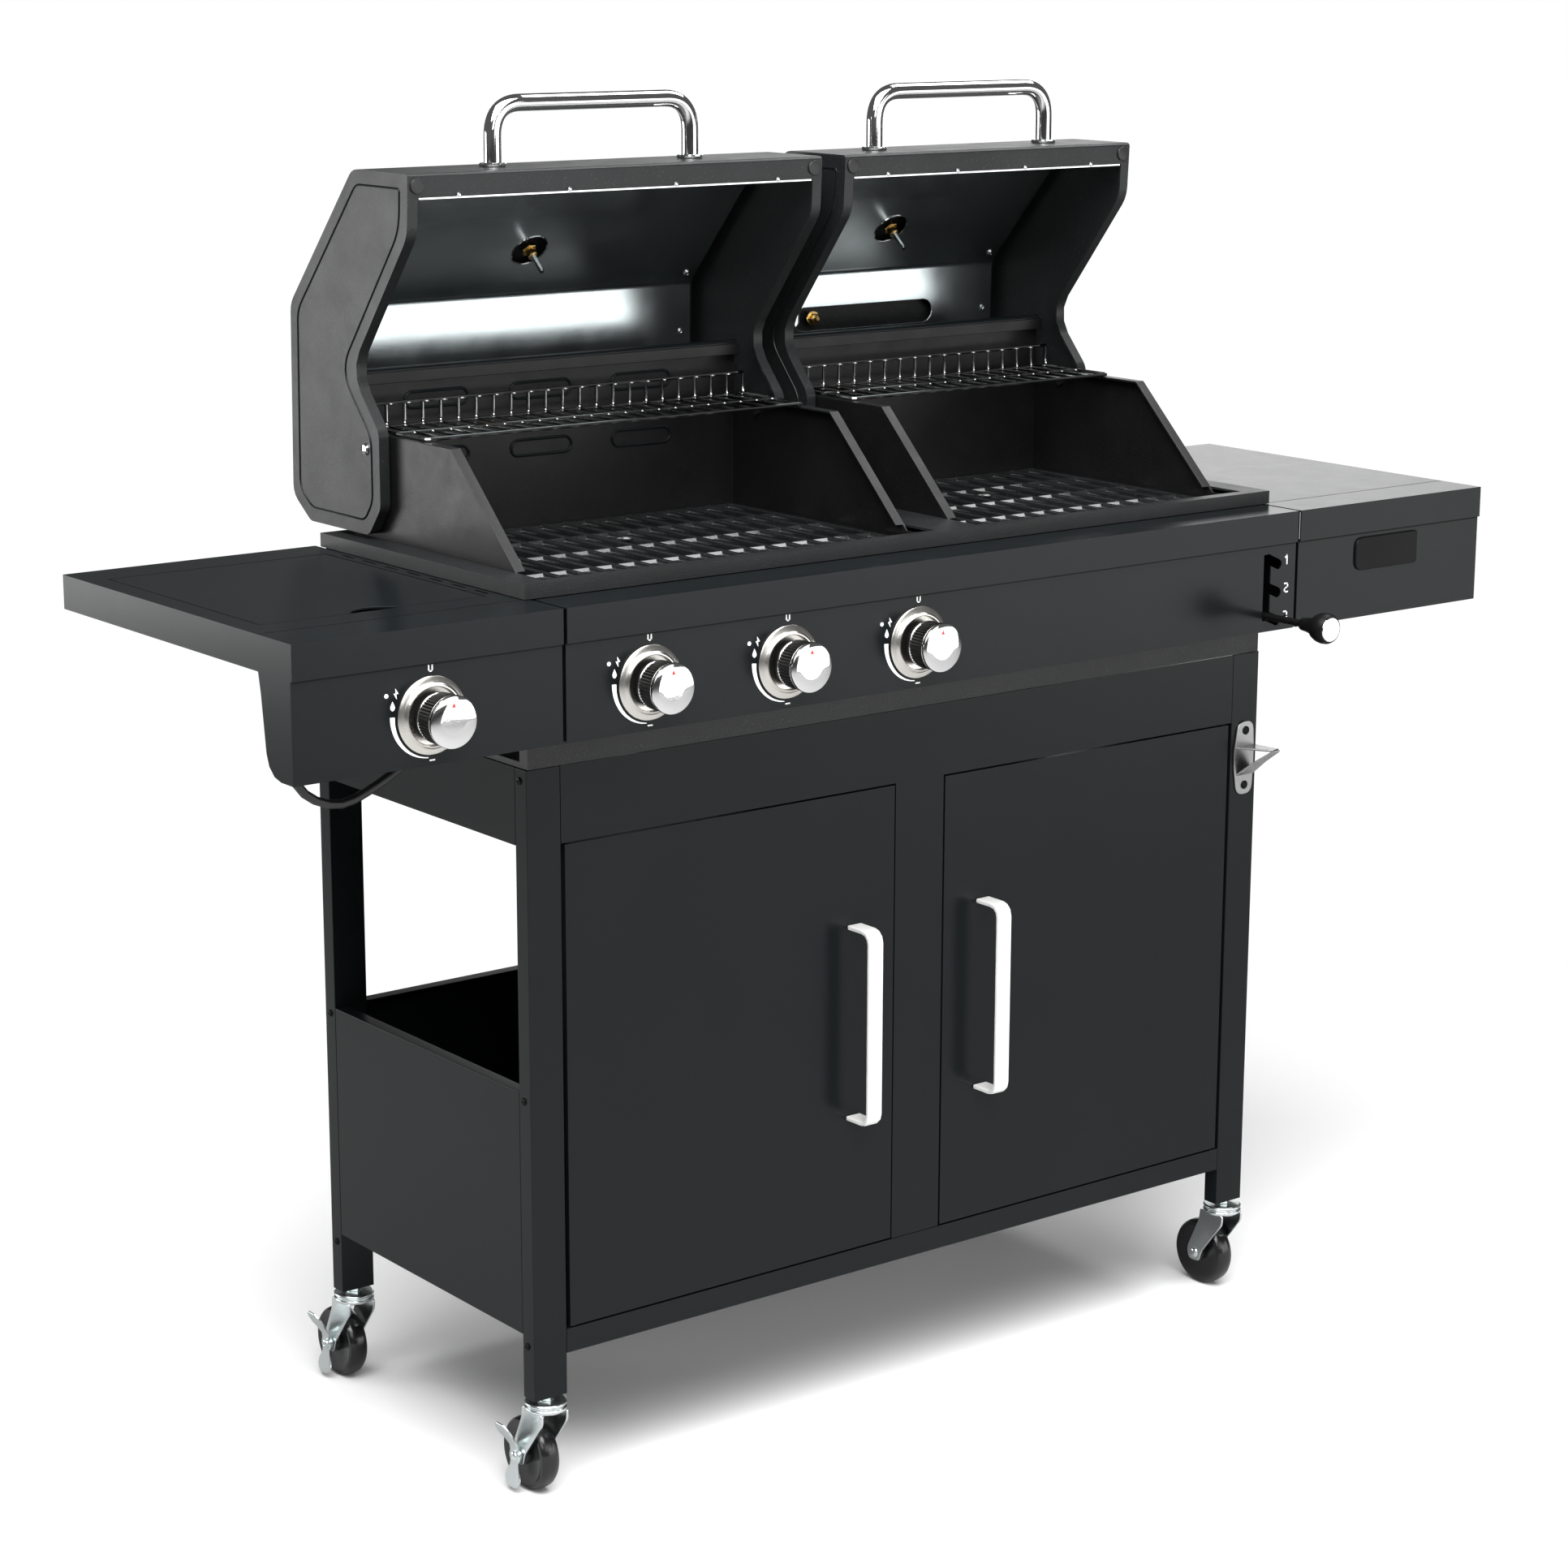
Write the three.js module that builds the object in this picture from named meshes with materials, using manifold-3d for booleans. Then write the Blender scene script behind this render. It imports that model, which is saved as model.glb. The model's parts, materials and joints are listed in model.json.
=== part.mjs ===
// Dual-fuel barbecue grill on a wheeled cabinet: gas firebox with three burners on the left,
// charcoal firebox with a lifting tray on the right, a side burner under a flap, and a side table.
// Millimetres, +X to the right, +Y to the back, +Z up.
import * as THREE from "three";
import { mergeVertices } from "three/addons/utils/BufferGeometryUtils.js";
import Module from "manifold-3d";

const wasm = await Module();
wasm.setup();

// ---------------------------------------------------------------- driving dimensions
// Sheet metal and clearances
const SHEET = 2; // cabinet and panel sheet
const BOX_SHEET = 2.5; // firebox and lid sheet
const GAP = 0.5; // between pieces that touch
const RUNNING = 1; // round a pin, a rod or a stem that moves
const FOLD = 15; // turned edge of a cabinet panel

// Cabinet
const CART_WIDTH = 1004; // over the outer faces of the legs
const CART_DEPTH = 400;
const LEG_WIDTH = 40;
const LEG_DEPTH = 20;
const LEG_LENGTH = 661;
const RAIL_LIFT = 44; // bottom rail above the foot of a leg
const RAIL_HEIGHT = 26;
const APRON_HEIGHT = 79;
const SIDE_PANEL_HEIGHT = 259;
const POST_WIDTH = 66;
const POST_DEPTH = 16;

// Doors
const DOOR_THICKNESS = 18;
const DOOR_EDGE_GAP = 5; // to the leg, so that the door can swing
const DOOR_SIDE_GAP = 2; // to the post, the apron and the rail
const DOOR_PIN = 6; // hinge pins on a door's top and bottom edges
const DOOR_PIN_INSET = 5; // hinge pin from the door's outer edge and from its face
const PULL_LENGTH = 217;
const PULL_WIDTH = 19;
const PULL_REACH = 39;
const PULL_BAR = 5;
const PULL_INSET = 45; // from the door's free edge
const PULL_DROP = 143; // top of the pull below the top of the door

// Casters
const WHEEL_DIAMETER = 78;
const WHEEL_WIDTH = 22;
const AXLE_DIAMETER = 8;
const CASTER_HEADROOM = 33; // from the top of the wheel to the leg
const CASTER_TRAIL = 28;
const RACE_DIAMETER = 44;
const FORK_PLATE = 2.5;
const FORK_CLEARANCE = 3; // between the wheel and a fork plate
const STEM_DIAMETER = 10;
const PEDAL_PLATE = 2.5;

// Head: the tub that carries both fireboxes
const HEAD_DEPTH_FRONT = 200; // from the middle of the cabinet
const HEAD_DEPTH_BACK = 176;
const HEAD_HEIGHT = 185;
const DECK_RAIL = 15; // height of the channel round the deck
const DECK_OVERHANG = 4;

// Fireboxes
const BOX_INSET = 27; // from the head's outer face to the firebox
const LEFT_BOX_WIDTH = 495;
const BOX_SPACING = 60; // between the two fireboxes
const BOX_FRONT = 190;
const BOX_BACK = 162;
const BOX_DEPTH_BELOW_DECK = 156;
const BOX_CHEEK_RISE = 109; // side plates above the deck
const BOX_CHEEK_START = 143; // foot of the slanted edge
const BOX_CHEEK_END = 28; // top of the slanted edge
const BOX_BACK_RISE = 57; // back wall above the side plates
const BOX_RIM = 12;
const GRATE_DEPTH = 13; // top of the grate below the deck
const GRATE_THICKNESS = 8;
const GRATE_BAR = 9;
const GRATE_PITCH = 28;

// Lids, in the open position; the outline is measured from the hinge
const HINGE_BACK = 112; // from the middle of the cabinet
const HINGE_RISE = 94; // above the deck
const LID_SIDE_GAP = 2; // between a firebox and the rim of a lid plate
const LID_RIM = 12; // depth of the rim round a lid plate
const LID_TOP = 284; // from the hinge to the lid's front face, which is on top when open
const LID_DECK_GAP = 2; // under the closed lid
const LID_SHOULDER_Y = 14;
const LID_SLANT = 146; // height of the slanted face
const LID_BACK = 151;
const LID_LEAN = 5; // how far the face under the slanted one leans back
const LID_HEEL = 89; // from the hinge down to the lid's rear edge
const LID_HEEL_DEPTH = 35; // of the rounded corner at the heel
const LID_HEEL_RISE = 25;
const LID_FLANGE = 24;
const LINER_GAP = 10;
const LINER_SHEET = 1.2;
const HINGE_PIN = 8;
const DAMPER_SLOT = 208; // long slot in the charcoal lid's liner
const DAMPER_SLOT_HEIGHT = 27;
const DAMPER_RISE = 80; // above the hinge
const VENT_WIDTH = 10; // hole in the lid's skin at the slot's left end
const VENT_HEIGHT = 19;

// Lid handles and thermometers
const HANDLE_TUBE = 18;
const HANDLE_SPAN = 250;
const HANDLE_RISE = 64;
const HANDLE_BEND = 32;
const HANDLE_INSET = 55; // from the lid's lower front edge, along its front face
const GAUGE_DIAMETER = 58;
const GAUGE_DEPTH = 12;
const PROBE_DIAMETER = 6;
const PROBE_LENGTH = 62;
const PROBE_WINDOW = 42; // hole in the liner round the probe
const GAUGE_DOWN = 122; // along the slanted face, from its upper edge

// Warming racks
const RACK_WIRE = 4;
const RACK_PITCH = 22;
const RACK_FRONT = 25;
const RACK_BACK = 140;
const RACK_FENCE = 24;

// Front panels
const PANEL_FRONT = 263; // front of the lip, from the middle of the cabinet
const PANEL_SETBACK = 3; // fascia behind the lip
const PANEL_END = 6; // from the head's side to the panel's end
const PANEL_HEIGHT = 133;
const LIP_HEIGHT = 35;
const PANEL_GAP = 4; // seam between the panel and each side fascia
const STRIP_DEPTH = 62; // from the lip back to the shelf top

// Controls
const BURNERS = 3;
const BURNER_INSET = 77.5; // outer burners from the gas firebox's sides
const KNOB_DROP = 85; // below the panel's top
const KNOB_DIAMETER = 51;
const KNOB_SKIRT = 44;
const KNOB_LENGTH = 32;
const KNOB_STANDOFF = 8; // behind the knob when it is out
const VALVE_STEM = 8;
const VALVE_STEM_BACK = 12; // behind the fascia
const VALVE_BLOCK = 26;

// Charcoal tray and its lever
const LEVER_INSET = 44; // middle of the upright slot from the panel's right end
const LEVER_ROD = 8;
const LEVER_LEVEL = 32; // between two heights
const LEVER_LOWEST = 18; // rod above the bottom of the panel
const LEVER_NOTCH_X = 17;
const LEVER_NOTCH_DROP = 7;
const LEVER_REACH = 62; // rod in front of the fascia
const LEVER_GRIP = 35;
const TRAY_HEIGHT = 26;
const TRAY_MARGIN = 9;
const TRAY_ARM_OFFSET = 36; // from the lever's rod to the middle of the tray's arm
const TRAY_ARM_WIDTH = 20;

// Side tables
const TABLE_WIDTH = 291;
const TABLE_BACK = 190;
const FLAP_WIDTH = 246;
const FLAP_DEPTH = 300;
const FLAP_INSET = 26; // from the table's outer edge
const FLAP_FRONT = 162;
const FLAP_GAP = 2;
const FLAP_PIN = 4; // hinge pins on the flap's sides
const FLAP_PIN_INSET = 4; // from the flap's back edge and from its top
const BOWL_DIAMETER = 216;
const BOWL_DEPTH = 44;

// Gas line
const MANIFOLD_TUBE = 16;
const INLET_DROP = 30; // inlet fitting below the line
const INLET_NUT = 14; // top of its nut above its foot
const BURNER_TUBE = 25;
const HOSE_DIAMETER = 9;
const HOSE_GAP = 1.5; // at the fittings on its ends

// Drip tray
const DRIP_WIDTH = 200;
const DRIP_HEIGHT = 20;

// ---------------------------------------------------------------- places worked out from them
const HALF = CART_WIDTH / 2;
const DEPTH = CART_DEPTH / 2;
const WHEEL_RADIUS = WHEEL_DIAMETER / 2;
const LEG_FOOT = WHEEL_DIAMETER + CASTER_HEADROOM;
const LEG_TOP = LEG_FOOT + LEG_LENGTH;
const INNER_X = HALF - LEG_WIDTH - GAP; // faces that meet a leg
const INNER_Y = DEPTH - LEG_DEPTH - GAP;
const RAIL_BOTTOM = LEG_FOOT + RAIL_LIFT;
const RAIL_TOP = RAIL_BOTTOM + RAIL_HEIGHT;
const APRON_BOTTOM = LEG_TOP - APRON_HEIGHT;

const HEAD_HALF = HALF - SHEET;
const HEAD_BOTTOM = LEG_TOP + GAP;
const DECK = HEAD_BOTTOM + HEAD_HEIGHT;
const DECK_HALF = HEAD_HALF + DECK_OVERHANG;
const TABLE_TOP = DECK - DECK_RAIL;
const PANEL_BOTTOM = TABLE_TOP - PANEL_HEIGHT;
const FASCIA = PANEL_FRONT - PANEL_SETBACK;
const FASCIA_TOP = TABLE_TOP - LIP_HEIGHT;

const BOX_BOTTOM = DECK - BOX_DEPTH_BELOW_DECK;
const CHEEK_TOP = DECK + BOX_CHEEK_RISE;
const BACK_TOP = CHEEK_TOP + BOX_BACK_RISE;
const LEFT_BOX = [-HEAD_HALF + BOX_INSET, -HEAD_HALF + BOX_INSET + LEFT_BOX_WIDTH];
const RIGHT_BOX = [LEFT_BOX[1] + BOX_SPACING, HEAD_HALF - BOX_INSET];
const GRATE_TOP = DECK - GRATE_DEPTH;
const HINGE_Z = DECK + HINGE_RISE;
const LID_OUT = LID_SIDE_GAP + LID_RIM;
const LID_FRONT = HINGE_RISE - LID_DECK_GAP; // from the hinge to the open lid's front edge

const CONTROL_Z = TABLE_TOP - KNOB_DROP;
const BURNER_PITCH = (LEFT_BOX_WIDTH - 2 * BURNER_INSET) / (BURNERS - 1);
const KNOB_XS = Array.from(
  { length: BURNERS }, (_, i) => LEFT_BOX[0] + BURNER_INSET + i * BURNER_PITCH);
const PANEL_HALF = HEAD_HALF - PANEL_END;
const LEVER_X = PANEL_HALF - LEVER_INSET;
const TRAY_ARM_X = LEVER_X - TRAY_ARM_OFFSET;
const DRIP_X = (LEFT_BOX[0] + LEFT_BOX[1]) / 2;
const MANIFOLD_LEFT = KNOB_XS[0] - 80;
const VALVE_Y = -FASCIA + SHEET + VALVE_STEM_BACK;
const ROD_Z = PANEL_BOTTOM + LEVER_LOWEST;
const TRAY_BOTTOM = ROD_Z - LEVER_ROD / 2 + 2;
const TABLE_OUTER = DECK_HALF + TABLE_WIDTH;
const SIDE_KNOB_X = -TABLE_OUTER + FLAP_INSET + FLAP_WIDTH / 2; // under the middle of the flap

// ---------------------------------------------------------------- finishes
function finish(color, roughness, metalness) {
  return new THREE.MeshStandardMaterial({ color, roughness, metalness });
}
const powderCoat = finish(0x2b2d2e, 0.45, 0.2);
const enamel = finish(0x17181a, 0.5, 0.2);
const castIron = finish(0x1c1c1d, 0.75, 0.4);
const galvanised = finish(0xb9c2c4, 0.3, 0.9);
const chrome = finish(0xd9dadb, 0.12, 1);
const zinc = finish(0xc4ccd0, 0.3, 0.9);
const satinSilver = finish(0xd8d8d6, 0.4, 0.6);
const rubber = finish(0x191919, 0.8, 0);
const brass = finish(0xb08d3e, 0.35, 0.9);
const blackPlastic = finish(0x121213, 0.5, 0);

// ---------------------------------------------------------------- outlines
const ARC_STEPS = 3;
const point = (u, v) => new THREE.Vector2(u, v);

// Rounds the corners of a line of [u, v, radius] points.
function rounded(points, closed = false) {
  const out = [];
  points.forEach(([u, v, radius = 0], i) => {
    const here = point(u, v);
    const before = points[i - 1] ?? (closed ? points.at(-1) : null);
    const after = points[i + 1] ?? (closed ? points[0] : null);
    if (!radius || !before || !after) {
      out.push(here);
      return;
    }
    const back = point(before[0], before[1]).sub(here).normalize();
    const on = point(after[0], after[1]).sub(here).normalize();
    const half = Math.acos(back.dot(on)) / 2;
    const centre = back.clone().add(on).setLength(radius / Math.sin(half)).add(here);
    const start = back.clone().multiplyScalar(radius / Math.tan(half)).add(here).sub(centre);
    const end = on.clone().multiplyScalar(radius / Math.tan(half)).add(here).sub(centre);
    const sweep = Math.atan2(start.cross(end), start.dot(end));
    for (let k = 0; k <= ARC_STEPS; k += 1) {
      out.push(start.clone().rotateAround(point(0, 0), (sweep * k) / ARC_STEPS).add(centre));
    }
  });
  return out;
}

// Moves a line sideways, to the left of its direction, with mitred corners.
function offset(points, distance, closed = false) {
  const count = points.length;
  const normals = points.map((p, i) => {
    const next = points[(i + 1) % count];
    const along = next.clone().sub(p).normalize();
    return point(-along.y, along.x);
  });
  return points.map((p, i) => {
    let a = normals[(i - 1 + count) % count];
    let b = normals[i];
    if (!closed && i === 0) a = b;
    if (!closed && i === count - 1) b = a;
    const mitre = a.clone().add(b).normalize();
    return mitre.multiplyScalar(distance / mitre.dot(a)).add(p);
  });
}

// The section of a bent sheet: a line and its copy one thickness to the left.
const band = (points, thickness) => [...points, ...offset(points, thickness).reverse()];

const rectangle = (u0, u1, v0, v1) => [point(u0, v0), point(u1, v0), point(u1, v1), point(u0, v1)];

function circle(u, v, diameter, sides) {
  return Array.from({ length: sides }, (_, i) => {
    const angle = ((i + 0.5) / sides) * Math.PI * 2;
    return point(u + (diameter / 2) * Math.cos(angle), v + (diameter / 2) * Math.sin(angle));
  });
}

// ---------------------------------------------------------------- solids
const GRID = 1000; // steps to a millimetre: faces meant to meet then meet exactly

function solidOf(geometry) {
  const places = geometry.attributes.position.array;
  places.forEach((value, i) => {
    places[i] = Math.round(value * GRID) / GRID;
  });
  geometry.deleteAttribute("normal");
  geometry.deleteAttribute("uv");
  const merged = mergeVertices(geometry, 1e-4);
  return new wasm.Manifold(
    new wasm.Mesh({
      numProp: 3,
      vertProperties: new Float32Array(merged.attributes.position.array),
      triVerts: new Uint32Array(merged.index.array),
    }),
  );
}

const join = (first, ...others) => others.flat(2).reduce((a, b) => a.add(b), first);
const cut = (first, ...others) => others.flat(2).reduce((a, b) => a.subtract(b), first);

const X = new THREE.Vector3(1, 0, 0);
const Y = new THREE.Vector3(0, 1, 0);
const Z = new THREE.Vector3(0, 0, 1);

// Carries an outline along w for a depth; each hole in it is cut right through.
function prism(outline, holes, depth, u, v, w, start) {
  const carry = (line, before, length) => {
    const geometry = new THREE.ExtrudeGeometry(
      new THREE.Shape(line), { depth: length, bevelEnabled: false });
    const from = start.clone().addScaledVector(w, -before);
    geometry.applyMatrix4(new THREE.Matrix4().makeBasis(u, v, w).setPosition(from));
    return solidOf(geometry);
  };
  return cut(carry(outline, 0, depth), holes.map((hole) => carry(hole, 1, depth + 2)));
}

// An outline in (y, z) carried from x0 to x1.
const prismX = (outline, x0, x1, holes = []) =>
  prism(outline, holes, x1 - x0, Y, Z, X, new THREE.Vector3(x0, 0, 0));
// An outline in (x, z) carried from y0 to y1.
const prismY = (outline, y0, y1, holes = []) =>
  prism(outline, holes, y1 - y0, X, Z, Y.clone().negate(), new THREE.Vector3(0, y1, 0));
// An outline in (x, y) carried from z0 to z1.
const prismZ = (outline, z0, z1, holes = []) =>
  prism(outline, holes, z1 - z0, X, Y, Z, new THREE.Vector3(0, 0, z0));

const block = (x0, x1, y0, y1, z0, z1) => prismZ(rectangle(x0, x1, y0, y1), z0, z1);

// A rod of round section between two points.
function rod(from, to, diameter, sides = 10) {
  const start = new THREE.Vector3(...from);
  const axis = new THREE.Vector3(...to).sub(start);
  const geometry = new THREE.CylinderGeometry(diameter / 2, diameter / 2, axis.length(), sides);
  geometry.applyQuaternion(new THREE.Quaternion().setFromUnitVectors(Y, axis.clone().normalize()));
  const middle = start.addScaledVector(axis, 0.5);
  geometry.translate(middle.x, middle.y, middle.z);
  return solidOf(geometry);
}

// A [radius, height] profile turned about a line through the origin, then set at a place.
function turned(profile, sides, axis, place) {
  const geometry = new THREE.LatheGeometry(profile.map(([r, h]) => point(r, h)), sides);
  geometry.applyQuaternion(new THREE.Quaternion().setFromUnitVectors(Y, axis));
  geometry.translate(...place);
  return solidOf(geometry);
}

// A round tube along a smooth curve.
function tube(path, diameter, sides, steps) {
  const section = new THREE.Shape(circle(0, 0, diameter, sides));
  return solidOf(new THREE.ExtrudeGeometry(section, { steps, extrudePath: path }));
}

const grill = new THREE.Group();

function add(name, solid, material) {
  const result = solid.getMesh();
  const geometry = new THREE.BufferGeometry();
  geometry.setAttribute("position", new THREE.BufferAttribute(result.vertProperties, 3));
  geometry.setIndex(new THREE.BufferAttribute(result.triVerts, 1));
  geometry.computeVertexNormals();
  const mesh = new THREE.Mesh(geometry, material);
  mesh.name = name;
  grill.add(mesh);
}

const SIDES = [
  ["left", -1],
  ["right", 1],
];

// ---------------------------------------------------------------- cabinet
function leg(sideX, sideY) {
  const x0 = sideX < 0 ? -HALF : HALF - LEG_WIDTH;
  const y0 = sideY < 0 ? -DEPTH : DEPTH - LEG_DEPTH;
  const outer = rectangle(x0, x0 + LEG_WIDTH, y0, y0 + LEG_DEPTH);
  const inner = rectangle(x0 + SHEET, x0 + LEG_WIDTH - SHEET, y0 + SHEET, y0 + LEG_DEPTH - SHEET);
  const socket = circle(x0 + LEG_WIDTH / 2, y0 + LEG_DEPTH / 2, STEM_DIAMETER + 2 * RUNNING, 8);
  const PLUG = 4;
  const wall = prismZ(outer, LEG_FOOT, LEG_TOP, [inner]);
  return join(wall, prismZ(outer, LEG_FOOT, LEG_FOOT + PLUG, [socket]));
}

// The cabinet's plan out to a given width: a rectangle with its corners cut out round the legs.
function planInsideLegs(x) {
  const y = DEPTH;
  return [
    [-INNER_X, -y], [INNER_X, -y], [INNER_X, -INNER_Y], [x, -INNER_Y], [x, INNER_Y],
    [INNER_X, INNER_Y], [INNER_X, y], [-INNER_X, y], [-INNER_X, INNER_Y], [-x, INNER_Y],
    [-x, -INNER_Y], [-INNER_X, -INNER_Y],
  ].map(([u, v]) => point(u, v));
}

const DOOR_OUTER = HALF - LEG_WIDTH - DOOR_EDGE_GAP;
const DOOR_INNER = POST_WIDTH / 2 + DOOR_SIDE_GAP;
const DOOR_TOP = APRON_BOTTOM - DOOR_SIDE_GAP;
const DOOR_BOTTOM = RAIL_TOP + DOOR_SIDE_GAP;
const PIN_X = DOOR_OUTER - DOOR_PIN_INSET;
const PIN_Y = -DEPTH + DOOR_PIN_INSET;
const PIN_HOLE = DOOR_PIN + 2 * RUNNING;

function baseShelf() {
  const floor = prismZ(planInsideLegs(HALF - SHEET - GAP), RAIL_TOP - SHEET, RAIL_TOP);
  const y = DEPTH;
  const section = [
    point(-y, RAIL_TOP), point(-y, RAIL_BOTTOM), point(-y + FOLD, RAIL_BOTTOM),
  ];
  const holes = [-PIN_X, PIN_X].map((x) =>
    prismZ(circle(x, PIN_Y, PIN_HOLE, 8), RAIL_TOP - SHEET - 1, RAIL_TOP + 1));
  return cut(join(floor, prismX(band(section, SHEET), -INNER_X, INNER_X)), holes);
}

function sidePanel(side) {
  const bottom = RAIL_TOP - SHEET;
  const top = bottom + SIDE_PANEL_HEIGHT;
  const face = side * HALF;
  const section = [point(face, bottom), point(face, top), point(side * (HALF - FOLD), top)];
  return prismY(band(section, side * SHEET), -INNER_Y, INNER_Y);
}

function backPanel() {
  const bottom = RAIL_TOP + GAP;
  const top = RAIL_TOP - SHEET + SIDE_PANEL_HEIGHT;
  const section = [point(DEPTH, bottom), point(DEPTH, top), point(DEPTH - FOLD, top)];
  return prismX(band(section, SHEET), -INNER_X, INNER_X);
}

// Aprons on all four sides under a top flange, with the post between the doors.
function apronFrame() {
  const plan = planInsideLegs(HALF);
  const opening = block(
    -INNER_X + FOLD, INNER_X - FOLD, -INNER_Y + FOLD, INNER_Y - FOLD, APRON_BOTTOM, LEG_TOP + 1);
  const inside = prismZ(offset(plan, SHEET, true), APRON_BOTTOM - 1, LEG_TOP - SHEET);
  const ring = cut(prismZ(plan, APRON_BOTTOM, LEG_TOP), inside, opening);
  const half = POST_WIDTH / 2;
  const face = -DEPTH + GAP;
  const channel = [
    point(-half, face + POST_DEPTH), point(-half, face),
    point(half, face), point(half, face + POST_DEPTH),
  ];
  const post = prismZ(band(channel, SHEET), RAIL_TOP + GAP, APRON_BOTTOM + FOLD);
  // Tabs behind the front apron hold the doors' upper pins.
  const TAB = 7;
  const tabs = [-PIN_X, PIN_X].map((x) => {
    const tab = block(
      x - TAB, x + TAB, -DEPTH + 1, PIN_Y + TAB, APRON_BOTTOM + 1, APRON_BOTTOM + 1 + SHEET);
    const hole = prismZ(circle(x, PIN_Y, PIN_HOLE, 8), APRON_BOTTOM, LEG_TOP);
    return { tab, hole };
  });
  return join(ring, post, tabs.map(({ tab, hole }) => cut(tab, hole)));
}

SIDES.forEach(([side, signX]) => {
  [["front", -1], ["rear", 1]].forEach(([end, signY]) => {
    add(`leg_${end}_${side}`, leg(signX, signY), powderCoat);
  });
  add(`side_panel_${side}`, sidePanel(signX), powderCoat);
});
add("base_shelf", baseShelf(), powderCoat);
add("back_panel", backPanel(), powderCoat);
add("apron_frame", apronFrame(), powderCoat);

// ---------------------------------------------------------------- doors
function door(side) {
  const x0 = side < 0 ? -DOOR_OUTER : DOOR_INNER;
  const x1 = side < 0 ? -DOOR_INNER : DOOR_OUTER;
  const body = block(x0, x1, -DEPTH, -DEPTH + DOOR_THICKNESS, DOOR_BOTTOM, DOOR_TOP);
  const hollow = block(
    x0 + SHEET, x1 - SHEET, -DEPTH + SHEET, -DEPTH + DOOR_THICKNESS + 1,
    DOOR_BOTTOM + SHEET, DOOR_TOP - SHEET);
  const x = side * PIN_X;
  const pins = [
    rod([x, PIN_Y, DOOR_TOP - 1], [x, PIN_Y, APRON_BOTTOM + 6], DOOR_PIN, 8),
    rod([x, PIN_Y, RAIL_TOP - 6], [x, PIN_Y, DOOR_BOTTOM + 1], DOOR_PIN, 8),
  ];
  return join(cut(body, hollow), pins);
}

// A flat bar bent back to the door at both ends.
function doorPull(side) {
  const top = DOOR_TOP - PULL_DROP;
  const bottom = top - PULL_LENGTH;
  const root = -DEPTH - GAP;
  const face = -DEPTH - PULL_REACH;
  const BEND = 14;
  const line = rounded(
    [[root, bottom], [face, bottom, BEND], [face, top, BEND], [root, top]]);
  const near = side * (DOOR_INNER + PULL_INSET);
  const far = near + side * PULL_WIDTH;
  return prismX(band(line, -PULL_BAR), Math.min(near, far), Math.max(near, far));
}

SIDES.forEach(([side, sign]) => {
  add(`door_${side}`, door(sign), powderCoat);
  add(`door_handle_${side}`, doorPull(sign), satinSilver);
});

// ---------------------------------------------------------------- casters
const FORK_INNER = WHEEL_WIDTH / 2 + FORK_CLEARANCE;
const FORK_OUTER = FORK_INNER + FORK_PLATE;
const CROWN_TOP = LEG_FOOT - 8;
const CROWN_BOTTOM = CROWN_TOP - 6;

function casterPlace(signX, signY) {
  return [signX * (HALF - LEG_WIDTH / 2), signY * (DEPTH - LEG_DEPTH / 2)];
}

function casterFork(signX, signY) {
  const [x, y] = casterPlace(signX, signY);
  const radius = RACE_DIAMETER / 2;
  const axleY = y + CASTER_TRAIL;
  const EYE = 11; // half the width of a fork plate at the axle
  const cheek = rounded([
    [y - radius + 4, CROWN_TOP], [y - radius + 4, CROWN_BOTTOM - 10, 6],
    [axleY - EYE, WHEEL_RADIUS - EYE * 0.4, 8], [axleY, WHEEL_RADIUS - EYE, 8],
    [axleY + EYE, WHEEL_RADIUS - EYE * 0.4, 8], [y + radius, CROWN_BOTTOM - 14, 8],
    [y + radius, CROWN_TOP],
  ], true);
  const crown = turned(
    [[0, CROWN_BOTTOM], [radius, CROWN_BOTTOM], [radius, CROWN_TOP + 4], [0, CROWN_TOP + 4]],
    16, Z, [x, y, 0]);
  const stem = rod([x, y, CROWN_TOP], [x, y, LEG_FOOT + 30], STEM_DIAMETER, 8);
  return join(
    crown,
    stem,
    prismX(cheek, x - FORK_OUTER, x - FORK_INNER),
    prismX(cheek, x + FORK_INNER, x + FORK_OUTER),
    rod([x - FORK_OUTER - 2, axleY, WHEEL_RADIUS], [x + FORK_OUTER + 2, axleY, WHEEL_RADIUS],
      AXLE_DIAMETER, 8),
  );
}

function casterWheel(signX, signY) {
  const [x, y] = casterPlace(signX, signY);
  const bore = AXLE_DIAMETER / 2 + RUNNING;
  const half = WHEEL_WIDTH / 2;
  const SHOULDER = 6;
  const profile = [
    [bore, -half], [WHEEL_RADIUS - SHOULDER, -half], [WHEEL_RADIUS, -half / 3],
    [WHEEL_RADIUS, half / 3], [WHEEL_RADIUS - SHOULDER, half], [bore, half], [bore, -half],
  ];
  return turned(profile, 20, X, [x, y + CASTER_TRAIL, WHEEL_RADIUS]);
}

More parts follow.
